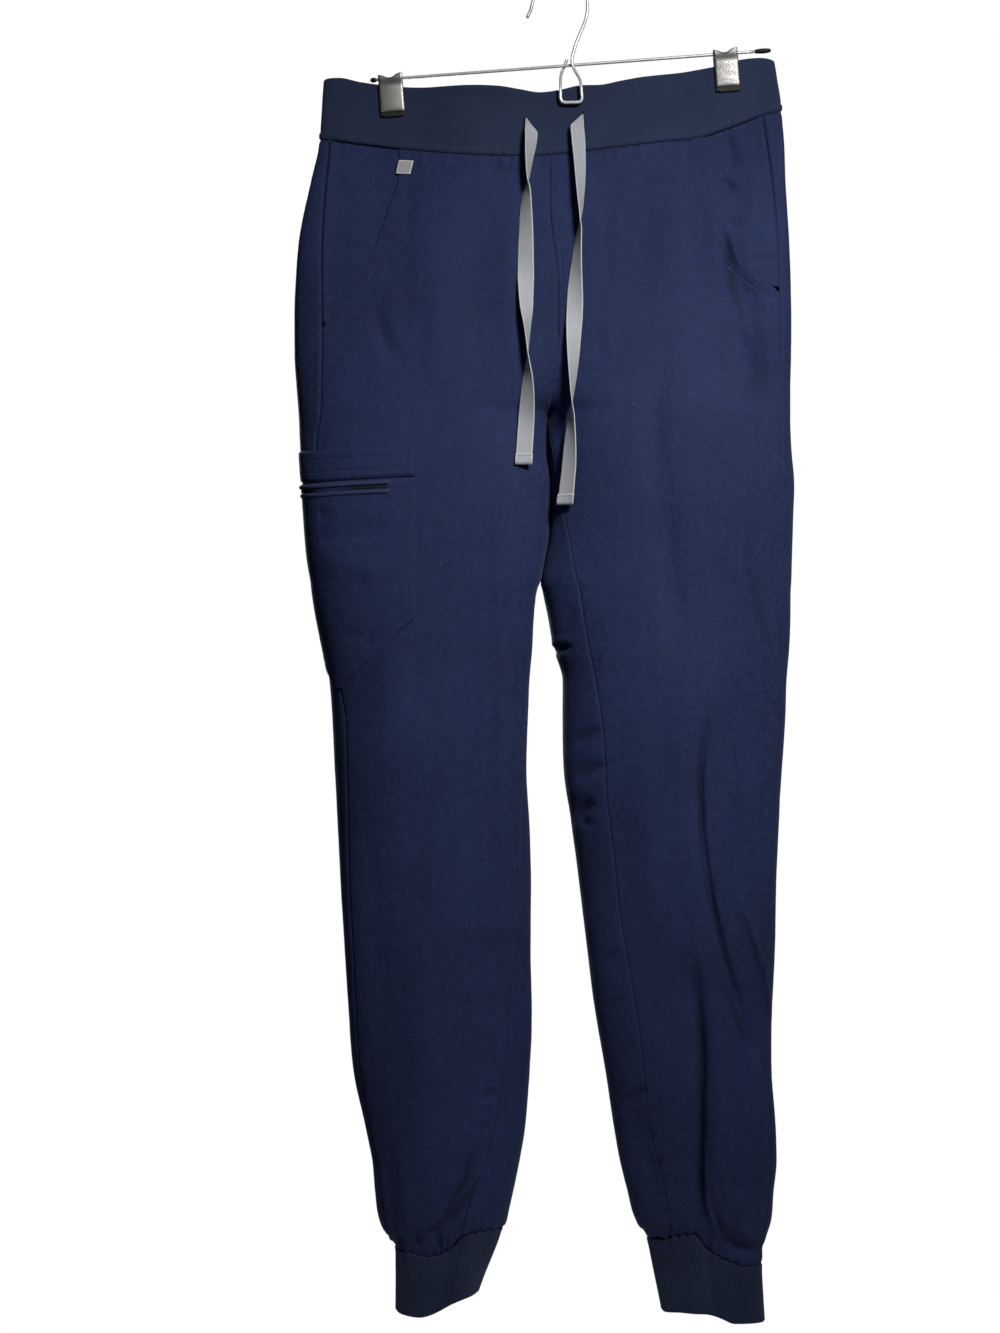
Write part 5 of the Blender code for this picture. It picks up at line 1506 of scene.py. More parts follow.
def add_cuffs():
    """Two rib tubes, from the gathered seam to the hem."""
    made = []
    for half in HALVES:
        seam, hem = CUFF_SEAMS[half], CUFF_HEMS[half]
        columns = ring_columns(half, *CUFF_COLUMNS)[:-1]
        even = np.linspace(0, 1, CUFF_ROWS)
        grid = np.zeros((CUFF_ROWS, len(columns), 3))
        for j, (_, face, share) in enumerate(columns):
            surface = SURFACES[half, face]
            depth = CUFF_HEAD
            for _ in range(4):
                x = surface.at(share, depth)[0]
                depth = along(seam, x)
            grid[0, j] = surface.at(share, depth)
        low, high = grid[0, :, 0].min(), grid[0, :, 0].max()
        for j in range(len(columns)):
            x, y, top = grid[0, j]
            hem_x = hem[0][0] + (hem[-1][0] - hem[0][0]) * (x - low) / (high - low)
            grid[1:, j, 0] = x + (hem_x - x) * even[1:]
            grid[1:, j, 1] = y
            grid[1:, j, 2] = top + (along(hem, hem_x) - top) * even[1:]
        middle = leg_middle(half, grid[..., 2])
        x, depth = grid[..., 0], grid[..., 2]
        under, above = depth - depth[0], depth[-1] - depth
        across = run_along(grid[CUFF_ROWS // 2])
        front = np.array([face == "front" for _, face, _ in columns])
        flares = [cuff_wave(half, face, x, under) for face in ("front", "back")]
        flare = np.where(front, *flares)
        wave = crease_height(half, "cuff", x, depth) * front
        wave = wave + 0.5 * soft_noise(x / 12, depth / 60, 501) * ease(under / 8)
        roll = rolled_edge(above, 1.2, 1.8)
        dip = 1.3 * (1 - ease(under / 1.8))
        height = 0.55 * flare + wave * ease(above / 4) - roll - dip
        grid = raised(grid, middle, height)
        facts = {"across": np.broadcast_to(across, x.shape), "down": under}
        name = f"cloth_cuff_{half}"
        item = add_shell(name, grid, CUFF, CUFF_CLOTH, middle, closed=True, facts=facts)
        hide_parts(f"cuff_{half}")
        made.append(item)
    return made


# ---------------------------------------------------------------- cargo pocket


def cargo_width(depth):
    """From the side seam to the pocket's front edge. Below the corner it stays as wide."""
    return float(np.interp(depth, CARGO_LEVELS, CARGO_WIDTHS))


def cargo_foot(across):
    """The depth of the pocket's pointed foot."""
    return CARGO_CORNER + (CARGO_FOOT - CARGO_CORNER) * (1 - np.abs(across))


def cargo_swell(across, depth):
    """How far the patch puffs out."""
    down = np.clip((depth - CARGO_BAND_SEAM) / (cargo_foot(across) - CARGO_BAND_SEAM), 0, 1)
    return CARGO_PUFF * np.clip(1 - across**2, 0, 1) ** 0.5 * np.sin(math.pi * down)


def cargo_drop(across, depth):
    """The pocket hangs a little below its place on the solid, most at its top and its back part."""
    top = 3.0 * (1 - ease((depth - CARGO_TOP) / (CARGO_BAND_SEAM - CARGO_TOP)))
    back = 3.2 * (1 - abs(across)) * (1 - ease((depth - CARGO_BAND_SEAM - 20) / 60))
    return top + back + 3.0 * ease((depth - CARGO_CORNER) / 25) + 1.5 * ease((depth - 470) / 30)


def cargo_grid(tops, bottoms, rows, columns, reach=(-1.0, 1.0)):
    """Places over the pocket, from its back edge to its front edge, on the panels' own faces."""
    shares = np.linspace(reach[0], reach[1], columns)
    grid = np.zeros((rows, columns, 3))
    widths = {}
    for i in range(rows):
        for j, across in enumerate(shares):
            depth = tops(across) + (bottoms(across) - tops(across)) * i / (rows - 1)
            depth += cargo_drop(across, depth)
            face = "front" if across > 0 else "back"
            surface = SURFACES["left", face]
            key = round(float(depth))
            if key not in widths:
                widths[key] = cargo_width(float(key))
            grid[i, j] = surface.at(1 - abs(across) * widths[key] / surface.width(depth), depth)
    return grid, np.broadcast_to(shares, (rows, columns))


def edge_distance(grid):
    """Each place's distance to the grid's nearest edge, and its way down and across the grid."""
    rows, columns = grid.shape[:2]
    down_steps = np.cumsum(np.linalg.norm(np.diff(grid, axis=0), axis=2), 0)
    over_steps = np.cumsum(np.linalg.norm(np.diff(grid, axis=1), axis=2), 1)
    down = np.concatenate([np.zeros((1, columns)), down_steps])
    over = np.concatenate([np.zeros((rows, 1)), over_steps], 1)
    nearest = np.minimum(np.minimum(down, down[-1:] - down), np.minimum(over, over[:, -1:] - over))
    return nearest, down, over


def add_cargo_piece(
    name, node_name, tops, bottoms, rows, columns, material, lift, seed,
    reach=(-1.0, 1.0), round_run=1.4, crown=0.0, thickness=PATCH_CLOTH, puff=True,
):
    grid, across = cargo_grid(tops, bottoms, rows, columns, reach)
    middle = leg_middle("left", grid[..., 2])
    away, down, over = edge_distance(grid)
    x, depth = grid[..., 0], grid[..., 2]
    height = lift * np.sqrt(ease(away / round_run)) + crown * np.sin(math.pi * down / down[-1:])
    if puff:
        height = height + cargo_swell(across, depth)
    calm = ease(away / 9)
    front = across > 0
    creased = crease_height("left", "cargo", x, depth) * front
    height = height + calm * (creased + 0.8 * cloth_waves(x, depth, seed))
    drift = 0.7 * soft_noise((down + over) / 17, down * 0 + 1, seed + 5)
    pucker = np.sin(2 * math.pi * ((down + over) / 6.2 + drift))
    height = height + 0.16 * pucker * bell(away - 5.5, 3.5) * ease(away / 2) * (1 if puff else 0)
    grid = raised(grid, middle, height)
    stitch, seam = np.full(away.shape, STITCH_REACH), np.clip(away, 0, SEAM_REACH)
    if puff:
        stitch = np.minimum(*(np.abs(away - row) for row in CARGO_STITCH_ROWS))
    else:
        seam = seam + SEAM_REACH
    facts = {"seam": seam, "stitch": np.clip(stitch, 0, STITCH_REACH)}
    item = add_shell(name, grid, material, thickness, middle, facts=facts)
    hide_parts(node_name)
    return item, grid


def grid_path(grid, rows, columns, middle):
    """A path along a grid's fractional rows and columns, with outward directions."""
    return between(np.concatenate([grid, outward(grid, middle)], -1), rows, columns)


def inset_paths(grid, inset, sides, middle):
    """Paths a given distance inside chosen edges of a grid."""
    rows, columns = grid.shape[:2]
    long_way = np.linalg.norm(np.diff(grid, axis=0), axis=2).sum(0).mean() / (rows - 1)
    wide_way = np.linalg.norm(np.diff(grid, axis=1), axis=2).sum(1).mean() / (columns - 1)
    a, b = inset / long_way, inset / wide_way
    down, over = np.linspace(a, rows - 1 - a, 160), np.linspace(b, columns - 1 - b, 160)
    ways = {
        "top": (0 * over + a, over), "foot": (0 * over + (rows - 1 - a), over),
        "back": (down, 0 * down + b), "front": (down, 0 * down + (columns - 1 - b)),
    }
    return [grid_path(grid, *ways[side], middle) for side in ways if side in sides]


def add_cargo_pocket():
    """The patch, its band, the zip between two lips, and their stitches."""
    front = SURFACES["left", "front"]
    middle = leg_middle("left", np.array(450.0))
    reach = (1 - front.share_of(ZIP_END_X, ZIP_TOP)) * front.width(ZIP_TOP) / cargo_width(ZIP_TOP)
    rise = GAP + WOVEN_WALL
    body, body_grid = add_cargo_piece(
        "cloth_cargo_body", "cargo_body", lambda u: CARGO_BAND_SEAM + 0.2, cargo_foot,
        84, 96, WOVEN, rise, 601,
    )
    band, band_grid = add_cargo_piece(
        "cloth_cargo_band", "cargo_band", lambda u: CARGO_TOP, lambda u: CARGO_BAND_SEAM,
        18, 96, WOVEN, rise, 611,
    )
    over = rise + LIP_WALL - 0.1
    strips = []
    for name, top, foot, material, crown in (
        ("lip_top", LIP_TOP - 0.3, ZIP_TOP - 0.1, WOVEN_LIP, 0.75),
        ("zip", ZIP_TOP - 0.8, ZIP_BOTTOM + 0.8, ZIP, 0.0),
        ("lip_bottom", ZIP_BOTTOM + 0.1, LIP_BOTTOM + 0.2, WOVEN_LIP, 0.55),
    ):
        lift = over if name != "zip" else rise + 0.35
        _, grid = add_cargo_piece(
            f"cloth_cargo_{name}", f"cargo_{name}", lambda u: top, lambda u: foot,
            7, 70, material, lift, 620, (-reach, reach), 1.0, crown, 0.7, False,
        )
        strips.append(grid)
    rows = []
    for inset in CARGO_STITCH_ROWS:
        for path in inset_paths(body_grid, inset, ("back", "front", "foot"), middle):
            rows += stitches_along(path)
        for path in inset_paths(band_grid, inset, ("top", "back", "front"), middle):
            rows += stitches_along(path)
    for path in inset_paths(strips[2], 1.0, ("foot",), middle):
        rows += stitches_along(path, 2.6, 2.0)
    add_threads("thread_cargo", rows, THREAD)
    teeth = []
    zip_grid = strips[1]
    for n in range(int(zip_grid.shape[1] * 1.6)):
        j = np.full(2, min(n / 1.6, zip_grid.shape[1] - 1.01))
        path = grid_path(zip_grid, np.array([1.8, 4.2]), j, middle)
        teeth.append((path[0, :3], path[1, :3], path[0, 3:]))
    add_threads("zip_coil", teeth, ZIP_TEETH, 0.8, 0.35)
    return body, band


# ---------------------------------------------------------------- tapes, label, hanger


# The drawstrings' own twist, as rows down each tape. "turn" runs on through each half turn, and
# "share" is how much of the tape's width has come out of its buttonhole.
TAPE_TABLE_COLUMNS = ("x", "depth", "turn", "lift", "share")
TAPE_TABLES = {
    "left": (
        (-26.9, 114, 20, 0.2, 0.06), (-25.3, 119, 30, 0.9, 0.40), (-22.9, 126.5, 40, 2.4, 1.0),
        (-23.4, 135, 47, 3.2, 1.0), (-24.5, 145.5, 61, 3.6, 1.0), (-25.3, 156, 74, 3.8, 1.0),
        (-25.9, 165.5, 89, 3.6, 1.0), (-26.3, 170, 106, 3.4, 1.0), (-26.9, 178, 123, 3.2, 1.0),
        (-27.2, 193, 139, 3.0, 1.0), (-27.2, 209, 152, 3.0, 1.0), (-27.3, 235, 172, 3.0, 1.0),
        (-27.3, 251, 201, 3.0, 1.0), (-26.9, 267, 221, 3.2, 1.0), (-26.6, 277, 241, 3.4, 1.0),
        (-26.3, 288, 256, 3.6, 1.0), (-26.1, 301, 270, 3.6, 1.0), (-26.1, 309, 284, 3.6, 1.0),
        (-26.0, 319, 305, 3.8, 1.0), (-26.1, 330, 322, 4.0, 1.0), (-26.7, 346, 343, 4.2, 1.0),
        (-27.6, 362, 357, 4.4, 1.0), (-28.6, 376, 362, 4.4, 1.0), (-29.2, 385, 362, 4.4, 1.0),
    ),
    "right": (
        (17.7, 110.8, 12, 0.2, 0.06), (15.3, 116, 22, 0.9, 0.50), (13.3, 121.7, 33, 2.2, 1.0),
        (13.9, 129.7, 32, 3.0, 1.0), (14.8, 145.5, 41, 3.4, 1.0), (15.3, 161.5, 51, 3.8, 1.0),
        (15.4, 177.5, 65, 4.0, 1.0), (15.5, 188, 76, 4.0, 1.0), (15.0, 197, 88, 3.8, 1.0),
        (14.5, 204, 102, 3.6, 1.0), (13.5, 214, 112, 3.4, 1.0), (12.2, 230, 126, 3.2, 1.0),
        (11.3, 246, 146, 3.0, 1.0), (10.9, 262, 167, 3.0, 1.0), (10.5, 272, 180, 3.0, 1.0),
        (9.9, 282, 200, 3.0, 1.0), (9.4, 298, 219, 3.2, 1.0), (9.0, 314, 238, 3.4, 1.0),
        (8.7, 325, 251, 3.6, 1.0), (8.4, 337, 268, 3.6, 1.0), (8.1, 346, 286, 3.6, 1.0),
        (7.6, 356, 300, 3.8, 1.0), (7.0, 372, 317, 4.0, 1.0), (6.2, 388, 328, 4.2, 1.0),
        (5.1, 399, 331, 4.4, 1.0), (4.4, 407, 335, 4.4, 1.0), (3.4, 416, 345, 4.4, 1.0),
    ),
}


TAPE_STEP = 1.6
TAPE_LONGER = 3.2
TAPE_SMOOTHING = 40
TAPE_LIFT = 0.4
TAPE_COLUMNS = 13
TAPE_END = 8.4
TAPE_SHEET = 0.75
TAPE_MIDDLE = np.array([0.0, 60.0, 250.0])


def tape_rows(table):
    """Even rows down a drawstring, as (x, y, depth, turn, share)."""
    places = column(table, TAPE_TABLE_COLUMNS, "depth")
    depths = np.linspace(places[0], places[-1], int((places[-1] - places[0]) / TAPE_STEP) + 1)
    rows = []
    for depth in depths:
        x, turn, lift, share = (
            smooth(places, column(table, TAPE_TABLE_COLUMNS, name), depth)
            for name in ("x", "turn", "lift", "share")
        )
        reach = TAPE_WIDTH / 2 * abs(math.sin(math.radians(turn))) * share
        across = [x + side * TAPE_WIDTH / 2 * share for side in (-1, -0.5, 0, 0.5, 1)]
        nearest = min(front_y(place, depth) for place in across)
        longer = TAPE_LONGER * ease((depth - 200) / 180)
        rows.append((x, nearest - 0.85 * reach - TAPE_LIFT * lift, depth + longer, turn, share))
    rows = np.array(rows)
    kernel = np.array([0.25, 0.5, 0.25])
    for _ in range(TAPE_SMOOTHING):
        rows[2:-1, 1] = np.convolve(rows[1:, 1], kernel, mode="valid")
    return rows


def front_y(x, depth):
    """The y of the foremost cloth at a place."""
    best = 1e9
    for half in HALVES:
        surface = SURFACES[half, "front"]
        row = surface.at(surface.share, np.full(SURFACE_COLUMNS, depth))
        if row[:, 0].min() - 1 <= x <= row[:, 0].max() + 1:
            order = np.argsort(row[:, 0])
            best = min(best, float(np.interp(x, row[order, 0], row[order, 1])))
    return best


def add_drawstrings():
    """Flat tapes that turn as they hang. Each comes out of a slit in the waistband."""
    made = []
    for name, table in TAPE_TABLES.items():
        rows = tape_rows(table)
        across = np.linspace(-1, 1, TAPE_COLUMNS)
        grid = np.zeros((len(rows), TAPE_COLUMNS, 3))
        run = run_along(rows[:, :3])
        for i, (x, y, depth, turn, share) in enumerate(rows):
            c, s = math.cos(math.radians(turn)), math.sin(math.radians(turn))
            half = across * TAPE_WIDTH / 2 * share
            cup = 0.4 * (across**2 - 0.4) * math.sin(run[i] / 37)
            grid[i, :, 0] = x + half * c + cup * s
            grid[i, :, 1] = y + half * s - cup * c
            grid[i, :, 2] = depth
        facts = {
            "across": np.broadcast_to(across * TAPE_WIDTH / 2, grid.shape[:2]),
            "down": np.broadcast_to(run[:, None], grid.shape[:2]),
        }
        item = add_shell(f"tape_{name}", grid, TAPE, TAPE_SHEET, TAPE_MIDDLE, facts=facts, offset=0)
        path = [(x * MM, y * MM, -d * MM) for x, y, d in grid[:, TAPE_COLUMNS // 2]]
        length = float(np.linalg.norm(np.diff(np.array(path), axis=0), axis=1).sum())
        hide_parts(f"drawstring_{name}")
        made.append((item, grid, path, length))
    return made


def add_tape_ends(tapes):
    """The folded end of each tape: a second layer, with a row of stitches across it."""
    pieces = []
    for (_, grid, _, _), name in zip(tapes, HALVES):
        count = int(TAPE_END / TAPE_STEP) + 1
        patch = grid[-count:].copy()
        over = patch[0, -1] - patch[0, 0]
        over /= np.linalg.norm(over)
        out = np.cross(over, (0, 0, 1.0))
        out *= -np.sign(out[1])
        patch += out * 1.0
        patch[-1] += np.array((0, 0, 0.5)) - out * 0.5
        patch[0] -= out * 0.3
        patch += over * np.linspace(-0.35, 0.35, TAPE_COLUMNS)[None, :, None]
        across = np.linspace(-1, 1, TAPE_COLUMNS) * TAPE_WIDTH / 2
        facts = {"across": np.broadcast_to(across, patch.shape[:2]), "down": patch[..., 2]}
        fold = add_shell(f"tape_fold_{name}", patch, TAPE, 0.9, TAPE_MIDDLE, facts=facts, offset=0)
        row = patch[1] + out * 0.45
        shares = np.linspace(0.05, 0.95, 40)
        steps = np.linspace(0, 1, len(row))
        places = np.stack([np.interp(shares, steps, row[:, c]) for c in range(3)], 1)
        path = np.concatenate([places, np.tile(out, (len(places), 1))], 1)
        row = stitches_along(path, 1.7, 1.2)
        thread = add_threads(f"thread_tape_{name}", row, FOLD_THREAD, 0.6, 0.3)
        pieces.append([fold, thread])
    return pieces


# Each slit in the waistband, as (tape, x, top, foot).
HOLE_STITCHES = 28
BUTTONHOLES = (("left", -28.4, 113.2, 121.0), ("right", 17.9, 108.2, 115.0))


def add_buttonholes(band_grid):
    """The slits that the tapes come out of, each a dark patch of painted shadow, with close
    stitches round each.
    """
    tree = tree_of(band_grid)
    rows = []
    for name, x, top, foot in BUTTONHOLES:
        ring = []
        for n in range(HOLE_STITCHES):
            angle = 2 * math.pi * n / HOLE_STITCHES
            spot = []
            for reach, grow in ((0.75, 0.0), (1.55, 0.8)):
                px = x + reach * math.cos(angle)
                pd = (top + foot) / 2 + ((foot - top) / 2 + grow) * math.sin(angle)
                place, normal = first_met(tree, px, pd)
                out = np.array(normal) * (-1 if normal[1] > 0 else 1)
                spot.append((np.array(place), out))
            rows.append((spot[0][0], spot[1][0], spot[1][1]))
            ring.append(spot[0][0] + spot[0][1] * 0.12)
        # A dark patch over each slit: painted shadow in the hole.
        centre = np.mean(ring, 0) - (0, 0.02, 0)
        faces = [(n, (n + 1) % len(ring), len(ring)) for n in range(len(ring))]
        patch = mesh_object(f"slit_{name}", ring + [centre], faces, BUTTONHOLE_SHADOW)
        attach(patch, "root")
    add_threads("thread_buttonholes", rows, THREAD, 0.5, 0.25)


LABEL_CORNERS = ((-127.2, 146.2), (-115.6, 146.8), (-129.4, 156.9), (-118.2, 157.6))


def add_label(front_grid):
    """A small blank label, sewn on flat at its corner beside the pocket's opening."""
    tree = tree_of(front_grid)
    count = 22
    corners = np.array(LABEL_CORNERS, float)
    v, u = np.meshgrid(np.linspace(0, 1, count), np.linspace(0, 1, count), indexing="ij")
    top = corners[0] + (corners[1] - corners[0]) * u[..., None]
    foot = corners[2] + (corners[3] - corners[2]) * u[..., None]
    flat = top + (foot - top) * v[..., None]
    hits = []
    for x, depth in flat.reshape(-1, 2):
        place, _ = first_met(tree, x, depth)
        if place is not None:
            hits.append(tuple(place))
    hits = np.array(hits)
    terms = np.stack([np.ones(len(hits)), hits[:, 0], hits[:, 2]], 1)
    fit = np.linalg.lstsq(terms, hits[:, 1], rcond=None)[0]
    lift = np.quantile(terms @ fit - hits[:, 1], 0.9) + 1.1
    y = fit[0] + fit[1] * flat[..., 0] + fit[2] * flat[..., 1] - lift
    grid = np.stack([flat[..., 0], y, flat[..., 1]], -1)
    out = np.array([fit[1], -1.0, fit[2]])
    out /= np.linalg.norm(out)
    facts = {"across": 2 * u - 1, "down": 2 * v - 1}
    item = add_shell("label_blank", grid, LABEL, 0.8, leg_middle("left", grid[..., 2]), facts=facts)
    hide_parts("label")
    paths = []
    for line in (grid[1], grid[-2], grid[:, 1], grid[:, -2]):
        path = np.concatenate([line, np.tile(out, (len(line), 1))], 1)
        paths += stitches_along(path, 1.5, 1.1)
    add_threads("thread_label", paths, TAPE_THREAD, 0.3, 0.16)


WIRE_SIDES = 14


def wire(name, places, width, material, sizes=None):
    """A round wire with rounded ends, swept along places in millimetres."""
    path = np.array(places, float)
    sizes = np.ones(len(path)) if sizes is None else np.array(sizes, float)
    along_wire = np.gradient(path, axis=0)
    along_wire /= np.linalg.norm(along_wire, axis=1)[:, None]
    side = np.array((0.0, 1.0, 0.0))
    grid = np.zeros((len(path) + 4, WIRE_SIDES, 3))
    ends, last = ((0.16, 0.25), (0.1, 0.7)), len(path) - 1
    rings = [(path[0] - along_wire[0] * width * out, 0, size) for out, size in ends]
    rings += [(place, n, 1.0) for n, place in enumerate(path)]
    rings += [(path[-1] + along_wire[-1] * width * out, last, size) for out, size in ends[::-1]]
    for row, (place, n, size) in enumerate(rings):
        side = side - along_wire[n] * side.dot(along_wire[n])
        side /= np.linalg.norm(side)
        other = np.cross(along_wire[n], side)
        for k in range(WIRE_SIDES):
            angle = 2 * math.pi * k / WIRE_SIDES
            spoke = side * math.cos(angle) + other * math.sin(angle)
            grid[row, k] = place + spoke * width / 2 * size * sizes[n]
    faces = grid_faces(len(rings), WIRE_SIDES, True).tolist()
    cap = list(range(WIRE_SIDES))
    faces += [cap[::-1], [(len(rings) - 1) * WIRE_SIDES + k for k in cap]]
    item = mesh_object(name, grid, faces, material)
    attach(item, "root")
    return item


# The loop's foot is drawn with tighter corners than the solid's.
LOOP_TURN = (
    (16.6, -11.5, 95), (16.9, -11.5, 99.4), (16.0, -11.5, 101.6), (13.8, -11.5, 102.3),
    (8.8, -11.5, 102.4),
    (3.4, -11.5, 102.4), (1.2, -11.5, 101.7), (0.3, -11.5, 99.6), (0, -11.2, 94), (0, -9.6, 88),
    (0.2, -4.6, 81.5), (1.2, 0.6, 76.6), (3, 3, 71.6), (5.5, 3, 65.5),
)


def add_hanger():
    """The hook with its lower loop, the crossbar and the bar's vinyl tips."""
    bend = []
    centre = HOOK_RADIUS - HOOK_WIRE / 2
    for n in range(9):
        angle = math.radians(180 - 180 * n / 8)
        bend.append((HOOK_RADIUS * math.cos(angle), 0, centre - HOOK_RADIUS * math.sin(angle)))
    route = list(HOOK_FREE_END) + bend + list(HOOK_SHANK)[:-1] + list(LOOP_TURN)
    hook = wire("wire_hook", smooth_path(route, 1.2), HOOK_WIRE, WIRE)
    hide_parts("hanger_hook")
    ends = [(x, 0, bar_depth(x)) for x in np.linspace(BAR_LEFT, BAR_RIGHT, 40)]
    bar = wire("wire_bar", ends, BAR_WIRE, WIRE)
    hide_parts("hanger_bar")
    for side, start, length in (
        ("left", BAR_LEFT - GAP - TIP_LEFT_LENGTH, TIP_LEFT_LENGTH),
        ("right", BAR_RIGHT + GAP, TIP_RIGHT_LENGTH),
    ):
        places = [(x, 0, bar_depth(x)) for x in np.linspace(start, start + length, 16)]
        shape = np.sin(math.pi * np.linspace(0.12, 0.88, 16)) ** 0.35
        tip = wire(f"tip_{side}", places, TIP_WIDTH, VINYL, shape)
        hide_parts(f"hanger_tip_{side}")


# Clips: a plate's upper edge, as (share of its width, rise towards the bar).
CLIP_EDGE = (
    (-1.0, 0.6), (-0.55, -0.6), (-0.2, -2.2), (0.1, -2.0), (0.45, 0.0), (0.8, 1.2), (1.0, 1.3),
)
CLIP_ROWS = 15
CLIP_CROSS = 21
PAD_ROWS, PAD_COLUMNS = 9, 15
CLIP_CORNER = 0.92
CLIP_FOOT = 26.6
CLIP_SHOULDER_REACH = 1.9
CLIP_BELLY = 0.35


def add_pressed(name, grid, side, material, thickness, edge, segments):
    """A sheet with eased edges, before or behind the cloth, from its middle face."""
    faces = grid_faces(*grid.shape[:2])
    item = mesh_object(name, grid, faces[:, ::-1] if side > 0 else faces, material)
    solid = item.modifiers.new("Wall", "SOLIDIFY")
    solid.thickness = thickness * MM
    solid.offset = 0
    eased = item.modifiers.new("Eased edges", "BEVEL")
    eased.width = edge * MM
    eased.segments = segments
    eased.limit_method = "ANGLE"
    eased.angle_limit = math.radians(50)
    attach(item, "root")
    return item


def add_clip(name, clip_x, material):
    """Two pressed plates with eased edges that hang on the bar, each over its vinyl pad."""
    tilt = math.atan(BAR_FALL)
    face = PINCHED_HALF + GAP + PAD_THICKNESS + GAP + CLIP_SHEET / 2
    across = np.linspace(-1, 1, CLIP_CROSS)
    top = -BAR_WIRE / 2 - GAP - CLIP_SHEET / 2 - 1.0

    def place(side, u, below, y):
        x = u * CLIP_WIDTH / 2
        turned_x = clip_x + x * math.cos(tilt) - below * math.sin(tilt)
        return turned_x, side * y, bar_depth(clip_x) + x * math.sin(tilt) + below * math.cos(tilt)

    for label, side in (("front", -1), ("back", 1)):
        grid = np.zeros((CLIP_ROWS, CLIP_CROSS, 3))
        for j, u in enumerate(across):
            start = top - along(CLIP_EDGE, u)
            for i, t in enumerate(np.linspace(0, 1, CLIP_ROWS)):
                below = start + (CLIP_FOOT - start) * t
                lean = ease((7.0 - below) / 9.0)
                belly = CLIP_BELLY * (1 - u * u) * ease(below / 8) * ease((CLIP_FOOT - below) / 3)
                y = face - (face - CLIP_SHOULDER_REACH) * lean + belly
                past = max(0, abs(u) - CLIP_CORNER)
                corner = (1 - math.sqrt(1 - past**2 / 0.0065)) if abs(u) > CLIP_CORNER else 0
                grid[i, j] = place(side, u, below, y - 0.5 * corner)
        item = add_pressed(f"plate_{name}_{label}", grid, side, material, CLIP_SHEET, 0.2, 2)
        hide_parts(f"clip_{name}_{label}")
        pad = np.zeros((PAD_ROWS, PAD_COLUMNS, 3))
        for j, u in enumerate(np.linspace(-1, 1, PAD_COLUMNS)):
            for i, t in enumerate(np.linspace(0, 1, PAD_ROWS)):
                below = PAD_TOP + (CLIP_FOOT + PAD_LIP - 1.1 * u**6 - PAD_TOP) * t
                y = PINCHED_HALF + GAP + PAD_THICKNESS / 2 + 0.5 * ease((below - CLIP_FOOT + 1) / 3)
                pad[i, j] = place(side, u * 1.02, below, y)
        item = add_pressed(f"cushion_{name}_{label}", pad, side, VINYL, PAD_THICKNESS, 0.35, 3)
        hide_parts(f"pad_{name}_{label}")


# ---------------------------------------------------------------- camera, cords, pieces


def add_seam_stitches():
    """Rows of stitches beside the seams and the pocket openings."""
    trees = {key: tree_of(grid) for key, (_, grid) in PANELS.items()}
    sewn = []
    for where, places in STITCH_LINES + OPENING_STITCHES:
        for half in HALVES:
            path = lay_on(trees[half, where], where, places)
            if len(path):
                sewn += stitches_along(path)
    add_threads("thread_seams", sewn, THREAD)


def add_camera():
    data = bpy.data.cameras.new("camera")
    data.lens = data.sensor_width * VIEW_DISTANCE / VIEW_HEIGHT
    item = link(bpy.data.objects.new("camera", data))
    item.location = (VIEW_X * MM, -VIEW_DISTANCE * MM, -VIEW_DEPTH * MM)
    item.rotation_euler = (math.pi / 2, 0, 0)
    bpy.context.scene.camera = item


add_camera()
TAPES = add_drawstrings()
TAPE_ENDS = add_tape_ends(TAPES)
for (tape, _, path, length), extra in zip(TAPES, TAPE_ENDS):
    for piece in extra:
        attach(piece, "root")

PANELS = add_panels()
FACINGS = add_facings()
WAISTBAND, BAND_GRID = add_waistband()
CUFFS = add_cuffs()
CARGO_BODY, CARGO_BAND = add_cargo_pocket()
add_label(PANELS["left", "front"][1])
add_buttonholes(BAND_GRID)
add_hanger()
for clip_name, clip_place in CLIPS:
    add_clip(clip_name, clip_place, CLIP_STEEL_LIT if clip_name == "left" else CLIP_STEEL_SHADED)

add_seam_stitches()


# ---------------------------------------------------------------- light and floor


def area_light(name, place, aim, size, power, colour, spread=180):
    data = bpy.data.lights.new(name, "AREA")
    data.energy = power
    data.shape = "RECTANGLE"
    data.size, data.size_y = size
    data.color = colour
    data.spread = math.radians(spread)
    item = link(bpy.data.objects.new(name, data))
    item.location = place
    item.rotation_euler = (Vector(aim) - Vector(place)).to_track_quat("-Z", "Y").to_euler()
    return item


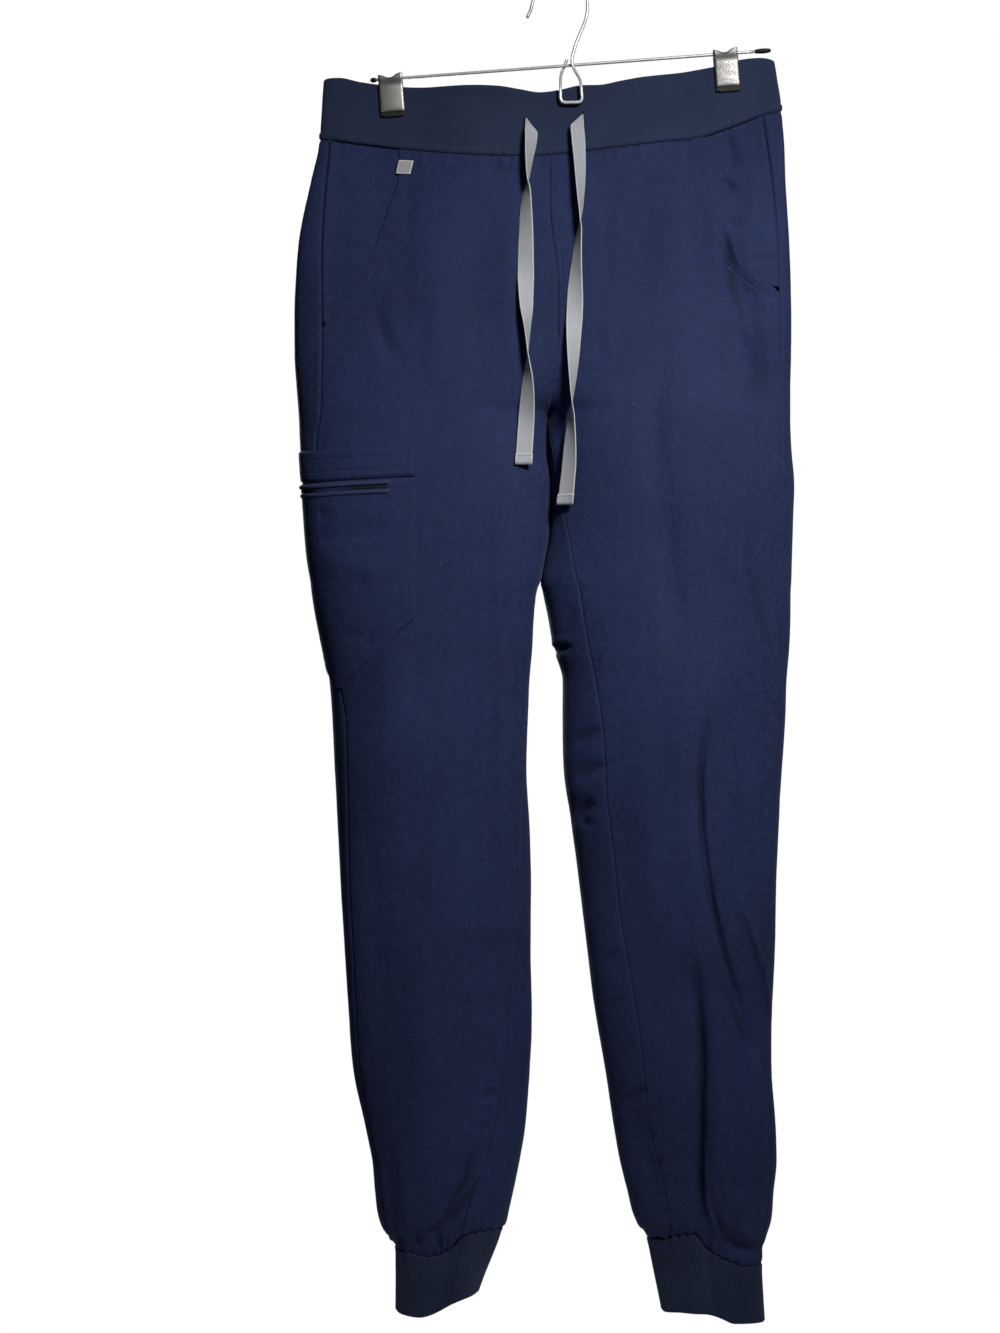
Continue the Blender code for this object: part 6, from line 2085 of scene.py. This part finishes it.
def add_stage():
    """A round pale floor below the garment."""
    rings, spokes = 5, 64
    places, faces = [(0, -0.1, FLOOR_LEVEL)], []
    for ring in range(1, rings + 1):
        radius = FLOOR_RADIUS * ring / rings
        for n in range(spokes):
            angle = 2 * math.pi * n / spokes
            places.append((radius * math.cos(angle), -0.1 + radius * math.sin(angle), FLOOR_LEVEL))
    faces += [(0, 1 + n, 1 + (n + 1) % spokes) for n in range(spokes)]
    for ring in range(rings - 1):
        a, b = 1 + ring * spokes, 1 + (ring + 1) * spokes
        faces += [(a + n, b + n, b + (n + 1) % spokes, a + (n + 1) % spokes) for n in range(spokes)]
    mesh = bpy.data.meshes.new("studio_floor")
    mesh.from_pydata(places, [], faces)
    material, tree, shader, place = start_material("pale_floor", 0.9, specular=0.1)
    cloud = flecks(tree, place, 1.5, 3.0, 0.5)
    colour = mix_colour(tree, cloud, (0.72, 0.72, 0.725, 1), (0.76, 0.76, 0.76, 1))
    finish(shader, colour)
    seen = node(tree, "ShaderNodeEmission", {"Color": (0.80, 0.80, 0.80, 1), "Strength": 1.0})
    direct = node(tree, "ShaderNodeLightPath").outputs["Is Camera Ray"]
    share = times(tree, direct, 0.85)
    pale = node(tree, "ShaderNodeMixShader", {0: share, 1: shader.outputs[0], 2: seen.outputs[0]})
    tree.links.new(pale.outputs[0], tree.nodes["Material Output"].inputs["Surface"])
    mesh.materials.append(material)
    link(bpy.data.objects.new("studio_floor", mesh))


def add_world():
    """Soft light from all round. The camera sees the world as a plain white studio."""
    world = bpy.data.worlds.new("studio")
    world.use_nodes = True
    tree = world.node_tree
    soft = tree.nodes["Background"]
    soft.inputs["Color"].default_value = (0.84, 0.90, 1.0, 1)
    soft.inputs["Strength"].default_value = WORLD_LIGHT
    seen = node(tree, "ShaderNodeBackground", {"Color": (1.0, 1.0, 1.0, 1), "Strength": 1.0})
    direct = node(tree, "ShaderNodeLightPath").outputs["Is Camera Ray"]
    both = node(tree, "ShaderNodeMixShader", {0: direct, 1: soft.outputs[0], 2: seen.outputs[0]})
    tree.links.new(both.outputs[0], tree.nodes["World Output"].inputs["Surface"])
    bpy.context.scene.world = world


add_stage()
add_world()
bpy.context.scene.view_settings.view_transform = "Standard"
area_light("key", KEY_PLACE, (0.08, 0.0, -0.45), (0.28, 0.28), KEY_LIGHT, WARM_LIGHT, 64)
area_light("fill", (-1.3, -1.7, -0.7), (-0.05, 0.0, -0.6), (0.9, 0.9), FILL_LIGHT, COOL_LIGHT)
back = area_light("back", (-0.6, 1.9, 0.1), (0.0, 0.0, -0.5), (1.2, 1.2), BACK_LIGHT, COOL_LIGHT)
back.visible_camera = False
